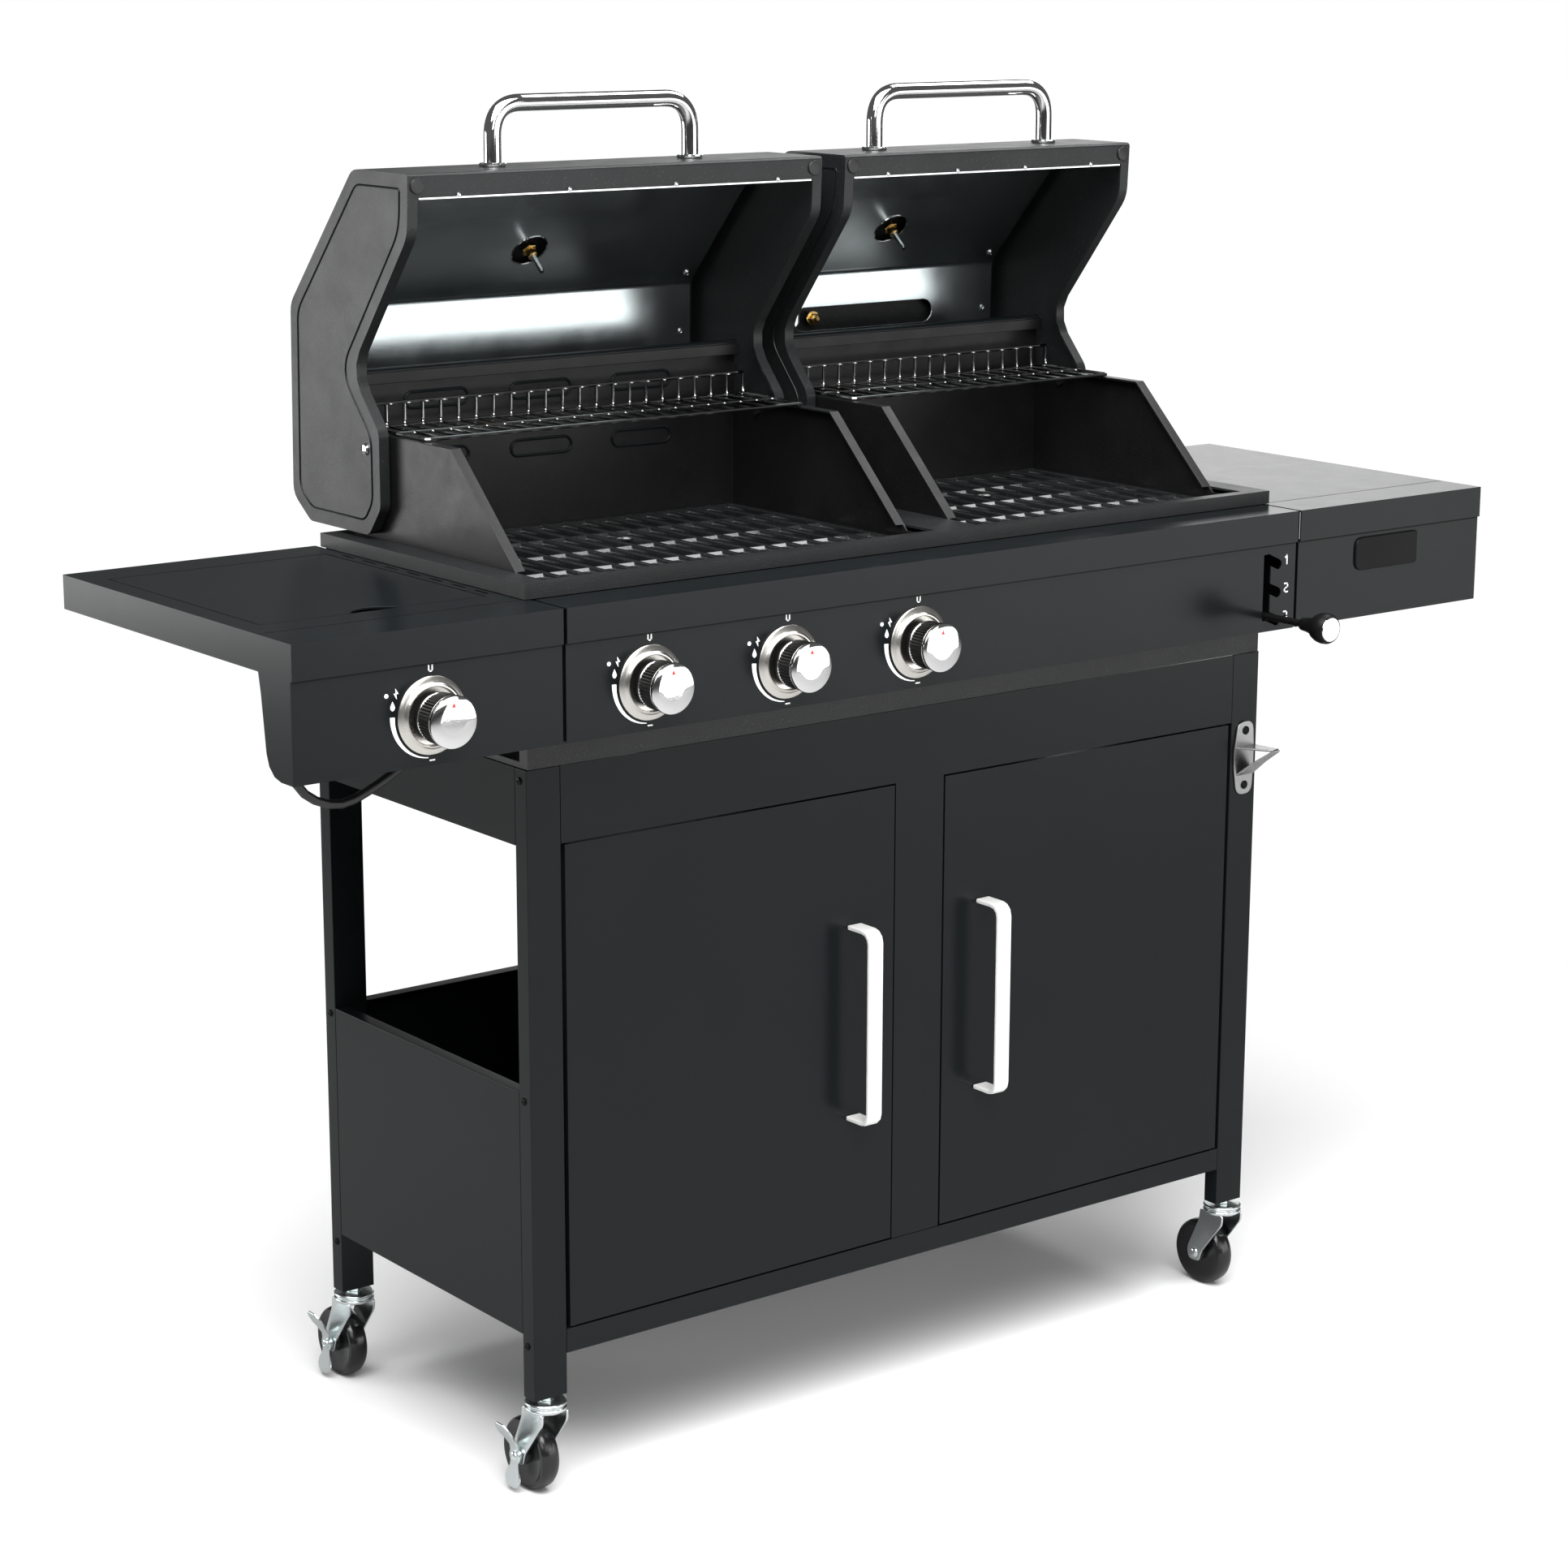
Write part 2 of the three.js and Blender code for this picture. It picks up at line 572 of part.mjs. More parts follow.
// A two-armed brake pedal beside the fork: one lobe up at the back, one down near the floor.
function brakePedal(signX, signY) {
  const [x, y] = casterPlace(signX, signY);
  const inner = x + signX * (FORK_OUTER + 2 + GAP);
  const outer = inner + signX * PEDAL_PLATE;
  const axleY = y + CASTER_TRAIL;
  const WAIST = 7;
  const outline = rounded([
    [axleY - WAIST, WHEEL_RADIUS + 4, 4], [axleY - WAIST - 4, 16, 5], [axleY + WAIST, 8, 6],
    [axleY + 13, 16, 5], [axleY + WAIST, WHEEL_RADIUS - 2, 4], [axleY + 34, 62, 6],
    [axleY + 26, 74, 6], [axleY + 4, WHEEL_RADIUS + 12, 4],
  ], true);
  const LOBE = 12;
  const lobe = [
    block(Math.min(inner, outer + signX * LOBE), Math.max(inner, outer + signX * LOBE),
      axleY + 18, axleY + 28, 60, 63),
    block(Math.min(inner, outer + signX * LOBE), Math.max(inner, outer + signX * LOBE),
      axleY - 6, axleY + 8, 14, 17),
  ];
  return join(prismX(outline, Math.min(inner, outer), Math.max(inner, outer)), lobe);
}

SIDES.forEach(([side, signX]) => {
  [["front", -1], ["rear", 1]].forEach(([end, signY]) => {
    add(`caster_fork_${end}_${side}`, casterFork(signX, signY), zinc);
    add(`caster_wheel_${end}_${side}`, casterWheel(signX, signY), rubber);
    if (signX < 0) add(`brake_pedal_${end}_${side}`, brakePedal(signX, signY), zinc);
  });
});

// ---------------------------------------------------------------- head
// Tub walls, the deck with its two openings, the channel round it, and the drip tray's runners.
function headFrame() {
  const x = HEAD_HALF;
  const front = -HEAD_DEPTH_FRONT;
  const back = HEAD_DEPTH_BACK;
  const COOLING = { height: 28, margin: 14 }; // long slot low in each side wall
  const LOW = HEAD_BOTTOM - 1;
  const tub = cut(
    block(-x, x, front, back, HEAD_BOTTOM, DECK - 1),
    block(-x + SHEET, x - SHEET, front + SHEET, back - SHEET, LOW, DECK),
    block(-x + SHEET, x - SHEET, front - 1, front + 1 + SHEET, PANEL_BOTTOM - 4, DECK),
    block(-x - 1, x + 1, front + COOLING.margin, back - COOLING.margin,
      HEAD_BOTTOM + 6, HEAD_BOTTOM + 6 + COOLING.height),
    block(DRIP_X - DRIP_WIDTH / 2 - 3, DRIP_X + DRIP_WIDTH / 2 + 3, back - 2 * SHEET, back + 1,
      LOW, HEAD_BOTTOM + DRIP_HEIGHT + 10),
  );
  const deckEdge = (inset) => rectangle(
    -DECK_HALF + inset, DECK_HALF - inset,
    front - DECK_OVERHANG - SHEET + inset, back + DECK_OVERHANG - inset);
  const openings = [LEFT_BOX, RIGHT_BOX].map(([x0, x1]) =>
    block(x0 - GAP, x1 + GAP, -BOX_FRONT - GAP, BOX_BACK + GAP, TABLE_TOP, DECK + 1));
  const deck = cut(
    prismZ(deckEdge(0), TABLE_TOP + GAP, DECK),
    prismZ(deckEdge(SHEET), TABLE_TOP, DECK - BOX_SHEET),
    openings);
  const runners = [-1, 1].map((sign) => {
    const edge = DRIP_X + sign * (DRIP_WIDTH / 2);
    return block(edge - 8, edge + 8, front + 1, back - 1, HEAD_BOTTOM + 0.5, HEAD_BOTTOM + SHEET);
  });
  return join(tub, deck, runners);
}
add("head_frame", headFrame(), powderCoat);

// The upper edge of a firebox's side plate, from the front to the back wall.
const cheekEdge = [
  point(-BOX_CHEEK_START, DECK), point(-BOX_CHEEK_END, CHEEK_TOP), point(BOX_BACK, CHEEK_TOP),
];

function firebox([x0, x1], extraCuts) {
  const side = [
    point(-BOX_FRONT, BOX_BOTTOM), point(-BOX_FRONT, DECK - 6),
    point(-BOX_CHEEK_START - 6, DECK - 6), ...cheekEdge, point(BOX_BACK, BOX_BOTTOM),
  ];
  const hollow = block(
    x0 + BOX_SHEET, x1 - BOX_SHEET, -BOX_FRONT + BOX_SHEET, BOX_BACK - BOX_SHEET,
    BOX_BOTTOM + BOX_SHEET, BACK_TOP);
  const rim = band(cheekEdge, -BOX_SHEET);
  const BAR = 12; // stiffening bar along the top of the back wall
  const ledgeTop = GRATE_TOP - GRATE_THICKNESS - GAP;
  const LEDGE = 8;
  const inside = [-BOX_FRONT + 1, BOX_BACK - 1];
  const tamerLedge = BOX_BOTTOM + TAMER_RISE - GAP;
  const shell = join(
    cut(prismX(side, x0, x1), hollow),
    prismX(rim, x0, x0 + BOX_RIM),
    prismX(rim, x1 - BOX_RIM, x1),
    block(x0, x1, BOX_BACK - BOX_SHEET, BOX_BACK, CHEEK_TOP - 2, BACK_TOP),
    block(x0, x1, BOX_BACK - BAR, BOX_BACK, BACK_TOP - BAR, BACK_TOP),
    block(x0 + 1, x0 + LEDGE, ...inside, ledgeTop - SHEET, ledgeTop),
    block(x1 - LEDGE, x1 - 1, ...inside, ledgeTop - SHEET, ledgeTop),
    block(x0 + 1, x1 - 1, BOX_BACK - LEDGE, BOX_BACK - 1, tamerLedge - SHEET, tamerLedge),
  );
  const pinHoles = prismX(
    circle(HINGE_BACK, HINGE_Z, HINGE_PIN + 2 * RUNNING, 10), x0 - 1, x1 + 1);
  return cut(shell, pinHoles, extraCuts);
}

const TAMER_RISE = 84; // flame tamer above the firebox floor
const DRAIN = 60;
const burnerHoles = KNOB_XS.map((x) =>
  prismY(circle(x, CONTROL_Z, BURNER_TUBE + 2 * RUNNING + 2, 10), -BOX_FRONT - 1, -BOX_FRONT + 6));
const drain = block(
  DRIP_X - DRAIN / 2, DRIP_X + DRAIN / 2, -DRAIN / 2, DRAIN / 2, BOX_BOTTOM - 1, BOX_BOTTOM + 6);
const armSlot = block(
  TRAY_ARM_X - TRAY_ARM_WIDTH / 2 - 2, TRAY_ARM_X + TRAY_ARM_WIDTH / 2 + 2,
  -BOX_FRONT - 1, -BOX_FRONT + 6, TRAY_BOTTOM - 3, TRAY_BOTTOM + TRAY_HEIGHT + 2 * LEVER_LEVEL);
add("firebox_gas", firebox(LEFT_BOX, [...burnerHoles, drain]), enamel);
add("firebox_charcoal", firebox(RIGHT_BOX, [armSlot]), enamel);

// ---------------------------------------------------------------- grates and racks
// A cast grate: bars from front to back, tied by rows across.
function grate([x0, x1]) {
  const EDGE = 3;
  const left = x0 + BOX_SHEET + EDGE;
  const right = x1 - BOX_SHEET - EDGE;
  const front = -BOX_FRONT + BOX_SHEET + 2;
  const back = BOX_BACK - BOX_SHEET - 3;
  const bars = Math.round((right - left - GRATE_BAR) / GRATE_PITCH);
  const pitch = (right - left - GRATE_BAR) / bars;
  const ROWS = 4;
  const TIE = 8;
  const rowPitch = (back - front - TIE) / ROWS;
  const holes = [];
  for (let i = 0; i < bars; i += 1) {
    for (let k = 0; k < ROWS; k += 1) {
      const u = left + GRATE_BAR + i * pitch;
      const v = front + TIE + k * rowPitch;
      holes.push(rectangle(u, u + pitch - GRATE_BAR, v, v + rowPitch - TIE));
    }
  }
  const outline = rectangle(left, right, front, back);
  return prismZ(outline, GRATE_TOP - GRATE_THICKNESS, GRATE_TOP, holes);
}

// A wire rack whose cross wires turn up at the back into a low fence.
function warmingRack([x0, x1]) {
  const left = x0 + 3;
  const right = x1 - 3;
  const bays = Math.round((right - left - RACK_WIRE) / RACK_PITCH);
  const pitch = (right - left - RACK_WIRE) / bays;
  const bottom = CHEEK_TOP + GAP;
  const fenceTop = bottom + RACK_WIRE + RACK_FENCE;
  const front = RACK_FRONT;
  const holes = [];
  for (let i = 0; i < bays; i += 1) {
    const start = left + RACK_WIRE + i * pitch;
    const end = start + pitch - RACK_WIRE;
    holes.push(
      block(start, end, front + RACK_WIRE, RACK_BACK - RACK_WIRE, bottom - 1, fenceTop),
      block(start, end, front, RACK_BACK + 1, bottom + RACK_WIRE, fenceTop - RACK_WIRE));
  }
  const section = [
    point(front, bottom), point(RACK_BACK, bottom), point(RACK_BACK, fenceTop),
  ];
  return cut(prismX(band(section, RACK_WIRE), left, right), holes);
}

add("grate_gas", grate(LEFT_BOX), castIron);
add("grate_charcoal", grate(RIGHT_BOX), castIron);
add("warming_rack_gas", warmingRack(LEFT_BOX), chrome);
add("warming_rack_charcoal", warmingRack(RIGHT_BOX), chrome);

// ---------------------------------------------------------------- lids
// The line of the lid's skin, from the front edge over the top to the heel.
const SKIN_LINE = [
  [-LID_FRONT, LID_TOP, 4], [LID_SHOULDER_Y, LID_TOP, 20],
  [LID_BACK - LID_LEAN, LID_TOP - LID_SLANT, 24], [LID_BACK, -LID_HEEL + LID_HEEL_RISE, 20],
];

// The S-shaped lower edge of an end plate, from the heel round the hinge to the front.
const PLATE_EDGE = [
  [LID_BACK - LID_HEEL_DEPTH, -LID_HEEL, 14], [-2, -LID_HEEL, 14], [-26, -LID_HEEL + 30, 16],
  [-26, 20, 20], [26, 78, 34], [-LID_FRONT + 3, 222, 36],
];
const PLATE_LINE = [...SKIN_LINE, ...PLATE_EDGE];

const atHinge = (points) => points.map((p) => point(p.x + HINGE_BACK, p.y + HINGE_Z));

// The place and the outward direction of the thermometer on the slanted face.
const gauge = (() => {
  const upper = new THREE.Vector3(0, LID_SHOULDER_Y + HINGE_BACK, LID_TOP + HINGE_Z);
  const lower = new THREE.Vector3(
    0, LID_BACK - LID_LEAN + HINGE_BACK, LID_TOP - LID_SLANT + HINGE_Z);
  const along = lower.clone().sub(upper).normalize();
  const out = new THREE.Vector3(0, -along.z, along.y);
  return { place: upper.addScaledVector(along, GAUGE_DOWN), out };
})();

function pointOn(x, distance) {
  const p = gauge.place.clone().addScaledVector(gauge.out, distance);
  return [x, p.y, p.z];
}

// A hole with round ends through a wall that faces the front.
function obround(x, z, width, height, y0, y1) {
  const u = width / 2;
  const v = height / 2;
  const r = Math.min(u, v) - 0.1;
  const corners = [[x - u, z - v, r], [x + u, z - v, r], [x + u, z + v, r], [x - u, z + v, r]];
  return prismY(rounded(corners, true), y0, y1);
}

// The charcoal lid's draught: a long slot in the liner, and a small hole behind its left end.
function draught(x) {
  const back = HINGE_BACK + LID_BACK;
  const z = HINGE_Z + DAMPER_RISE;
  const holeX = x - DAMPER_SLOT / 2 + VENT_WIDTH / 2 + 6;
  return {
    slot: obround(x, z, DAMPER_SLOT, DAMPER_SLOT_HEIGHT, back - 30, back - BOX_SHEET - 1),
    hole: obround(holeX, z, VENT_WIDTH, VENT_HEIGHT, back - 12, back + 4),
  };
}

// The open side of the lid between the rims of its plates: a band along the S-shaped edge.
function mouth(x0, x1) {
  const line = [[-LID_FRONT, LID_TOP - LID_FLANGE], ...PLATE_EDGE.slice(1).reverse()];
  line.push([LID_BACK - LID_HEEL_DEPTH - 1, -LID_HEEL]);
  const edge = rounded(line);
  const outside = offset(edge, -2 * BOX_SHEET);
  const inside = offset(edge, 2 * BOX_SHEET);
  return prismX(atHinge([...inside, ...outside.reverse()]), x0, x1);
}

function lidHood([x0, x1], cuts) {
  const line = rounded(PLATE_LINE, true);
  const inward = THREE.ShapeUtils.isClockWise(line) ? -BOX_SHEET : BOX_SHEET;
  const middle = (x0 + x1) / 2;
  const shell = cut(
    prismX(atHinge(line), x0, x1),
    prismX(atHinge(offset(line, inward, true)), x0 + BOX_SHEET, x1 - BOX_SHEET),
    mouth(x0 + LID_RIM, x1 - LID_RIM),
    rod(pointOn(middle, -9), pointOn(middle, 9), PROBE_DIAMETER + 2, 8),
    cuts);
  const pins = [[x0, 1], [x1, -1]].map(([outer, sign]) => rod(
    [outer + sign, HINGE_BACK, HINGE_Z],
    [outer + sign * (LID_OUT + BOX_SHEET + 4), HINGE_BACK, HINGE_Z], HINGE_PIN, 10));
  return join(shell, pins);
}

// The galvanised inner sheet, one gap inside the skin.
function lidLiner([x0, x1], cuts) {
  const line = offset(rounded(SKIN_LINE), -BOX_SHEET - LINER_GAP);
  line[0] = point(-LID_FRONT + BOX_SHEET + 3, line[1].y);
  const inner = [x0 + LID_RIM + GAP, x1 - LID_RIM - GAP];
  const sheet = prismX(atHinge(band(line, -LINER_SHEET)), ...inner);
  const middle = (x0 + x1) / 2;
  const window = rod(pointOn(middle, -40), pointOn(middle, -2), PROBE_WINDOW, 12);
  return cut(sheet, window, cuts);
}

function lidHandle([x0, x1]) {
  const middle = (x0 + x1) / 2;
  const y = HINGE_BACK - LID_FRONT + HANDLE_INSET;
  const foot = HINGE_Z + LID_TOP + GAP;
  const top = foot + HANDLE_RISE;
  const half = HANDLE_SPAN / 2;
  const corner = (x, sign) => new THREE.QuadraticBezierCurve3(
    new THREE.Vector3(middle + sign[0], y, sign[1]),
    new THREE.Vector3(x, y, top),
    new THREE.Vector3(middle + sign[2], y, sign[3]));
  const bend = HANDLE_BEND;
  const path = new THREE.CurvePath();
  path.add(new THREE.LineCurve3(
    new THREE.Vector3(middle - half, y, foot), new THREE.Vector3(middle - half, y, top - bend)));
  path.add(corner(middle - half, [-half, top - bend, -half + bend, top]));
  path.add(new THREE.LineCurve3(
    new THREE.Vector3(middle - half + bend, y, top), new THREE.Vector3(middle + half - bend, y, top)));
  path.add(corner(middle + half, [half - bend, top, half, top - bend]));
  path.add(new THREE.LineCurve3(
    new THREE.Vector3(middle + half, y, top - bend), new THREE.Vector3(middle + half, y, foot)));
  const WASHER = 28;
  const washers = [-half, half].map((shift) =>
    rod([middle + shift, y, foot], [middle + shift, y, foot + 3], WASHER, 10));
  return join(tube(path, HANDLE_TUBE, 8, 30), washers);
}

function thermometer([x0, x1]) {
  const middle = (x0 + x1) / 2;
  return join(
    rod(pointOn(middle, GAP), pointOn(middle, GAP + GAUGE_DEPTH), GAUGE_DIAMETER, 16),
    rod(pointOn(middle, GAP + 1), pointOn(middle, -PROBE_LENGTH), PROBE_DIAMETER, 6),
  );
}

const LIDS = [
  ["gas", [LEFT_BOX[0] - LID_OUT, LEFT_BOX[1] + LID_OUT]],
  ["charcoal", [RIGHT_BOX[0] - LID_OUT, RIGHT_BOX[1] + LID_OUT]],
];
LIDS.forEach(([fuel, span]) => {
  const middle = (span[0] + span[1]) / 2;
  const { slot, hole } = draught(middle);
  const hasDraught = fuel === "charcoal";
  add(`lid_${fuel}`, lidHood(span, hasDraught ? [hole] : []), powderCoat);
  add(`lid_liner_${fuel}`, lidLiner(span, hasDraught ? [slot] : []), galvanised);
  add(`lid_handle_${fuel}`, lidHandle(span), chrome);
  add(`thermometer_${fuel}`, thermometer(span), chrome);
});

// ---------------------------------------------------------------- front panels
// The lip with its return to the deck, and the fascia under it, as one bent section.
function frontSection(back) {
  return band([
    point(-back, TABLE_TOP), point(-PANEL_FRONT, TABLE_TOP), point(-PANEL_FRONT, FASCIA_TOP),
    point(-FASCIA, FASCIA_TOP), point(-FASCIA, PANEL_BOTTOM), point(-FASCIA + FOLD, PANEL_BOTTOM),
  ], SHEET);
}

const stemHole = (x) => prismY(
  circle(x, CONTROL_Z, VALVE_STEM + 2 * RUNNING + 1, 10), -FASCIA - 4, -FASCIA + 6);

// The lever's slot: an upright with three notches that slope down to the right.
function leverSlot() {
  const WIDTH = LEVER_ROD + 3;
  const half = WIDTH / 2;
  const upright = block(
    LEVER_X - half, LEVER_X + half, -FASCIA - 4, -FASCIA + 6,
    ROD_Z - half, ROD_Z + 2 * LEVER_LEVEL + half);
  const notches = [0, 1, 2].map((level) => {
    const z = ROD_Z + level * LEVER_LEVEL;
    const endX = LEVER_X + LEVER_NOTCH_X;
    const endZ = z - LEVER_NOTCH_DROP;
    const tip = circle(endX, endZ, WIDTH / Math.cos(Math.PI / 12), 12);
    const arm = [
      point(LEVER_X, z - half), point(endX - 1, endZ - half),
      point(endX + 2, endZ + half), point(LEVER_X, z + half + 1),
    ];
    return join(prismY(arm, -FASCIA - 4, -FASCIA + 6), prismY(tip, -FASCIA - 4, -FASCIA + 6));
  });
  return join(upright, notches);
}

function controlPanel() {
  const section = frontSection(HEAD_DEPTH_FRONT + 2 * DECK_OVERHANG);
  return cut(prismX(section, -PANEL_HALF, PANEL_HALF), KNOB_XS.map(stemHole), leverSlot());
}
add("control_panel", controlPanel(), powderCoat);

// ---------------------------------------------------------------- gas line
// The line along the front with one valve block behind each knob. Its right end turns down into
// the inlet fitting.
function manifold() {
  const left = MANIFOLD_LEFT;
  const right = KNOB_XS.at(-1) + 60;
  const y = VALVE_Y + VALVE_BLOCK / 2;
  const half = VALVE_BLOCK / 2;
  const blocks = KNOB_XS.map((x) =>
    block(x - half, x + half, VALVE_Y, VALVE_Y + VALVE_BLOCK, CONTROL_Z - half, CONTROL_Z + half));
  const tubeZ = CONTROL_Z - half - MANIFOLD_TUBE / 2 + 3;
  const inletX = right - MANIFOLD_TUBE / 2;
  return join(
    rod([left, y, tubeZ], [right, y, tubeZ], MANIFOLD_TUBE, 8),
    blocks,
    rod([inletX, y, tubeZ], [inletX, y, tubeZ - INLET_DROP], MANIFOLD_TUBE - 3, 8),
    rod([inletX, y, tubeZ - INLET_DROP + INLET_NUT], [inletX, y, tubeZ - INLET_DROP + 2],
      MANIFOLD_TUBE + 4, 6),
  );
}

function burner(x) {
  const front = VALVE_Y + VALVE_BLOCK + 2;
  const back = BOX_BACK - BOX_SHEET - 14;
  return join(
    rod([x, front, CONTROL_Z], [x, back, CONTROL_Z], BURNER_TUBE, 10),
    block(x - 5, x + 5, back - 4, back + 8, CONTROL_Z - 5, CONTROL_Z + 5),
  );
}

// One pressed sheet with a ridge over each burner.
function flameTamer() {
  const [x0, x1] = LEFT_BOX;
  const low = BOX_BOTTOM + TAMER_RISE;
  const RIDGE = 30;
  const line = [point(x0 + BOX_SHEET + 4, low)];
  KNOB_XS.forEach((x) => {
    line.push(point(x - 60, low), point(x - 8, low + RIDGE), point(x + 8, low + RIDGE));
    line.push(point(x + 60, low));
  });
  line.push(point(x1 - BOX_SHEET - 4, low));
  return prismY(band(line, 1.5), -BOX_FRONT + BOX_SHEET + 3, BOX_BACK - BOX_SHEET - 3);
}

add("manifold", manifold(), zinc);
KNOB_XS.forEach((x, i) => add(`burner_${i + 1}`, burner(x), galvanised));
add("flame_tamer", flameTamer(), galvanised);

function valveStem(x) {
  const tip = -FASCIA - KNOB_STANDOFF - KNOB_LENGTH + 12;
  return join(
    rod([x, tip, CONTROL_Z], [x, VALVE_Y - 4, CONTROL_Z], VALVE_STEM, 8),
    rod([x, -FASCIA + SHEET + 4, CONTROL_Z], [x, -FASCIA + SHEET + 7, CONTROL_Z], 14, 8),
  );
}

function knob(x) {
  const back = KNOB_STANDOFF;
  const front = KNOB_STANDOFF + KNOB_LENGTH;
  const bore = VALVE_STEM / 2 + GAP;
  const profile = [
    [bore, back], [KNOB_SKIRT / 2, back], [KNOB_SKIRT / 2 - 2, back + 14],
    [KNOB_DIAMETER / 2, back + 16], [KNOB_DIAMETER / 2, front - 3], [KNOB_DIAMETER / 2 - 3, front],
    [0, front], [0, front - 10], [bore, front - 10], [bore, back],
  ];
  return turned(profile, 18, Y.clone().negate(), [x, -FASCIA, CONTROL_Z]);
}

[SIDE_KNOB_X, ...KNOB_XS].forEach((x, i) => {
  const place = i === 0 ? "side" : `${i}`;
  add(`valve_stem_${place}`, valveStem(x), brass);
  add(`knob_${place}`, knob(x), chrome);
});

// ---------------------------------------------------------------- charcoal tray and lever
const LEVER_BLOCK_Y = -BOX_FRONT - 8; // back of the lever's block

function charcoalTray() {
  const x0 = RIGHT_BOX[0] + BOX_SHEET + TRAY_MARGIN;
  const x1 = RIGHT_BOX[1] - BOX_SHEET - TRAY_MARGIN;
  const front = -BOX_FRONT + BOX_SHEET + TRAY_MARGIN;
  const back = BOX_BACK - BOX_SHEET - TRAY_MARGIN;
  const body = block(x0, x1, front, back, TRAY_BOTTOM, TRAY_BOTTOM + TRAY_HEIGHT);
  const hollow = block(
    x0 + SHEET, x1 - SHEET, front + SHEET, back - SHEET,
    TRAY_BOTTOM + SHEET, TRAY_BOTTOM + TRAY_HEIGHT + 1);
  const arm = block(
    TRAY_ARM_X - TRAY_ARM_WIDTH / 2, TRAY_ARM_X + TRAY_ARM_WIDTH / 2,
    LEVER_BLOCK_Y - 20, front + 1, TRAY_BOTTOM, TRAY_BOTTOM + 12);
  return join(cut(body, hollow), arm);
}

function lever() {
  const tip = -FASCIA - LEVER_REACH;
  const arm = TRAY_ARM_X + TRAY_ARM_WIDTH / 2 + GAP;
  const radius = LEVER_GRIP / 2;
  const grip = turned([
    [0, 0], [7, 0], [11, 12], [radius - 2, 20], [radius, 30], [radius - 2, 40], [11, 45], [0, 45],
  ], 14, Y.clone().negate(), [LEVER_X, tip + 6, ROD_Z]);
  return join(
    rod([LEVER_X, tip, ROD_Z], [LEVER_X, LEVER_BLOCK_Y, ROD_Z], LEVER_ROD, 8),
    block(arm, LEVER_X + 5, LEVER_BLOCK_Y - 18, LEVER_BLOCK_Y, ROD_Z - 5, ROD_Z + 7),
    grip,
  );
}
add("charcoal_tray", charcoalTray(), galvanised);
add("tray_lever", lever(), blackPlastic);

// ---------------------------------------------------------------- drip tray
function dripTray() {
  const x0 = DRIP_X - DRIP_WIDTH / 2;
  const x1 = DRIP_X + DRIP_WIDTH / 2;
  const bottom = HEAD_BOTTOM + SHEET + GAP;
  const top = bottom + DRIP_HEIGHT;
  const front = -INNER_Y + 40;
  const back = HEAD_DEPTH_BACK;
  const body = block(x0, x1, front, back, bottom, top);
  const hollow = block(x0 + SHEET, x1 - SHEET, front + SHEET, back - SHEET, bottom + SHEET, top + 1);
  const plate = block(x0 - 8, x1 + 8, back + GAP, back + GAP + SHEET, bottom, top + 10);
  const pull = block(x0 + 70, x1 - 70, back, back + 22, top - 4, top - 1);
  const neck = block(x0, x1, back - SHEET, back + GAP + 1, bottom, top);
  return join(cut(body, hollow), plate, pull, neck);
}
add("drip_tray", dripTray(), galvanised);

// ---------------------------------------------------------------- side tables
// A folded table top with its front strip, its fascia and the curved cheek on its outer end.
function sideTable(side, cuts) {
  const inner = side * (DECK_HALF + GAP);
  const panelEnd = side * (PANEL_HALF + PANEL_GAP);
  const outer = side * TABLE_OUTER;
  const span = (a, b) => [Math.min(a, b), Math.max(a, b)];
  const strip = -PANEL_FRONT + STRIP_DEPTH;
  const BACK_OF_CHEEK = 14; // how far the cheek's foot stands forward of the strip's back
  const outline = rounded([
    [-PANEL_FRONT, TABLE_TOP], [-PANEL_FRONT, FASCIA_TOP], [-FASCIA, FASCIA_TOP],
    [-FASCIA, PANEL_BOTTOM], [strip - BACK_OF_CHEEK, PANEL_BOTTOM, 26],
    [strip - 4, FASCIA_TOP - 20], [strip, FASCIA_TOP], [TABLE_BACK, FASCIA_TOP],
    [TABLE_BACK, TABLE_TOP],
  ], true);
  const low = PANEL_BOTTOM - 1;
  const frontInside = [
    [-PANEL_FRONT + SHEET, TABLE_TOP - SHEET], [-PANEL_FRONT + SHEET, FASCIA_TOP + SHEET],
    [-FASCIA + SHEET, FASCIA_TOP + SHEET], [-FASCIA + SHEET, PANEL_BOTTOM + SHEET],
    [-FASCIA + FOLD, PANEL_BOTTOM + SHEET], [-FASCIA + FOLD, low], [strip + 1, low],
    [strip + 1, TABLE_TOP - SHEET],
  ].map(([u, v]) => point(u, v));
  const nearEnd = panelEnd - side;
  return cut(
    prismX(outline, ...span(panelEnd, outer)),
    prismX(frontInside, ...span(nearEnd, outer - side * SHEET)),
    block(...span(nearEnd, inner), strip, TABLE_BACK + 1, low, TABLE_TOP + 1),
    block(...span(inner + side * SHEET, outer - side * SHEET), strip, TABLE_BACK - SHEET,
      low, TABLE_TOP - SHEET),
    cuts);
}

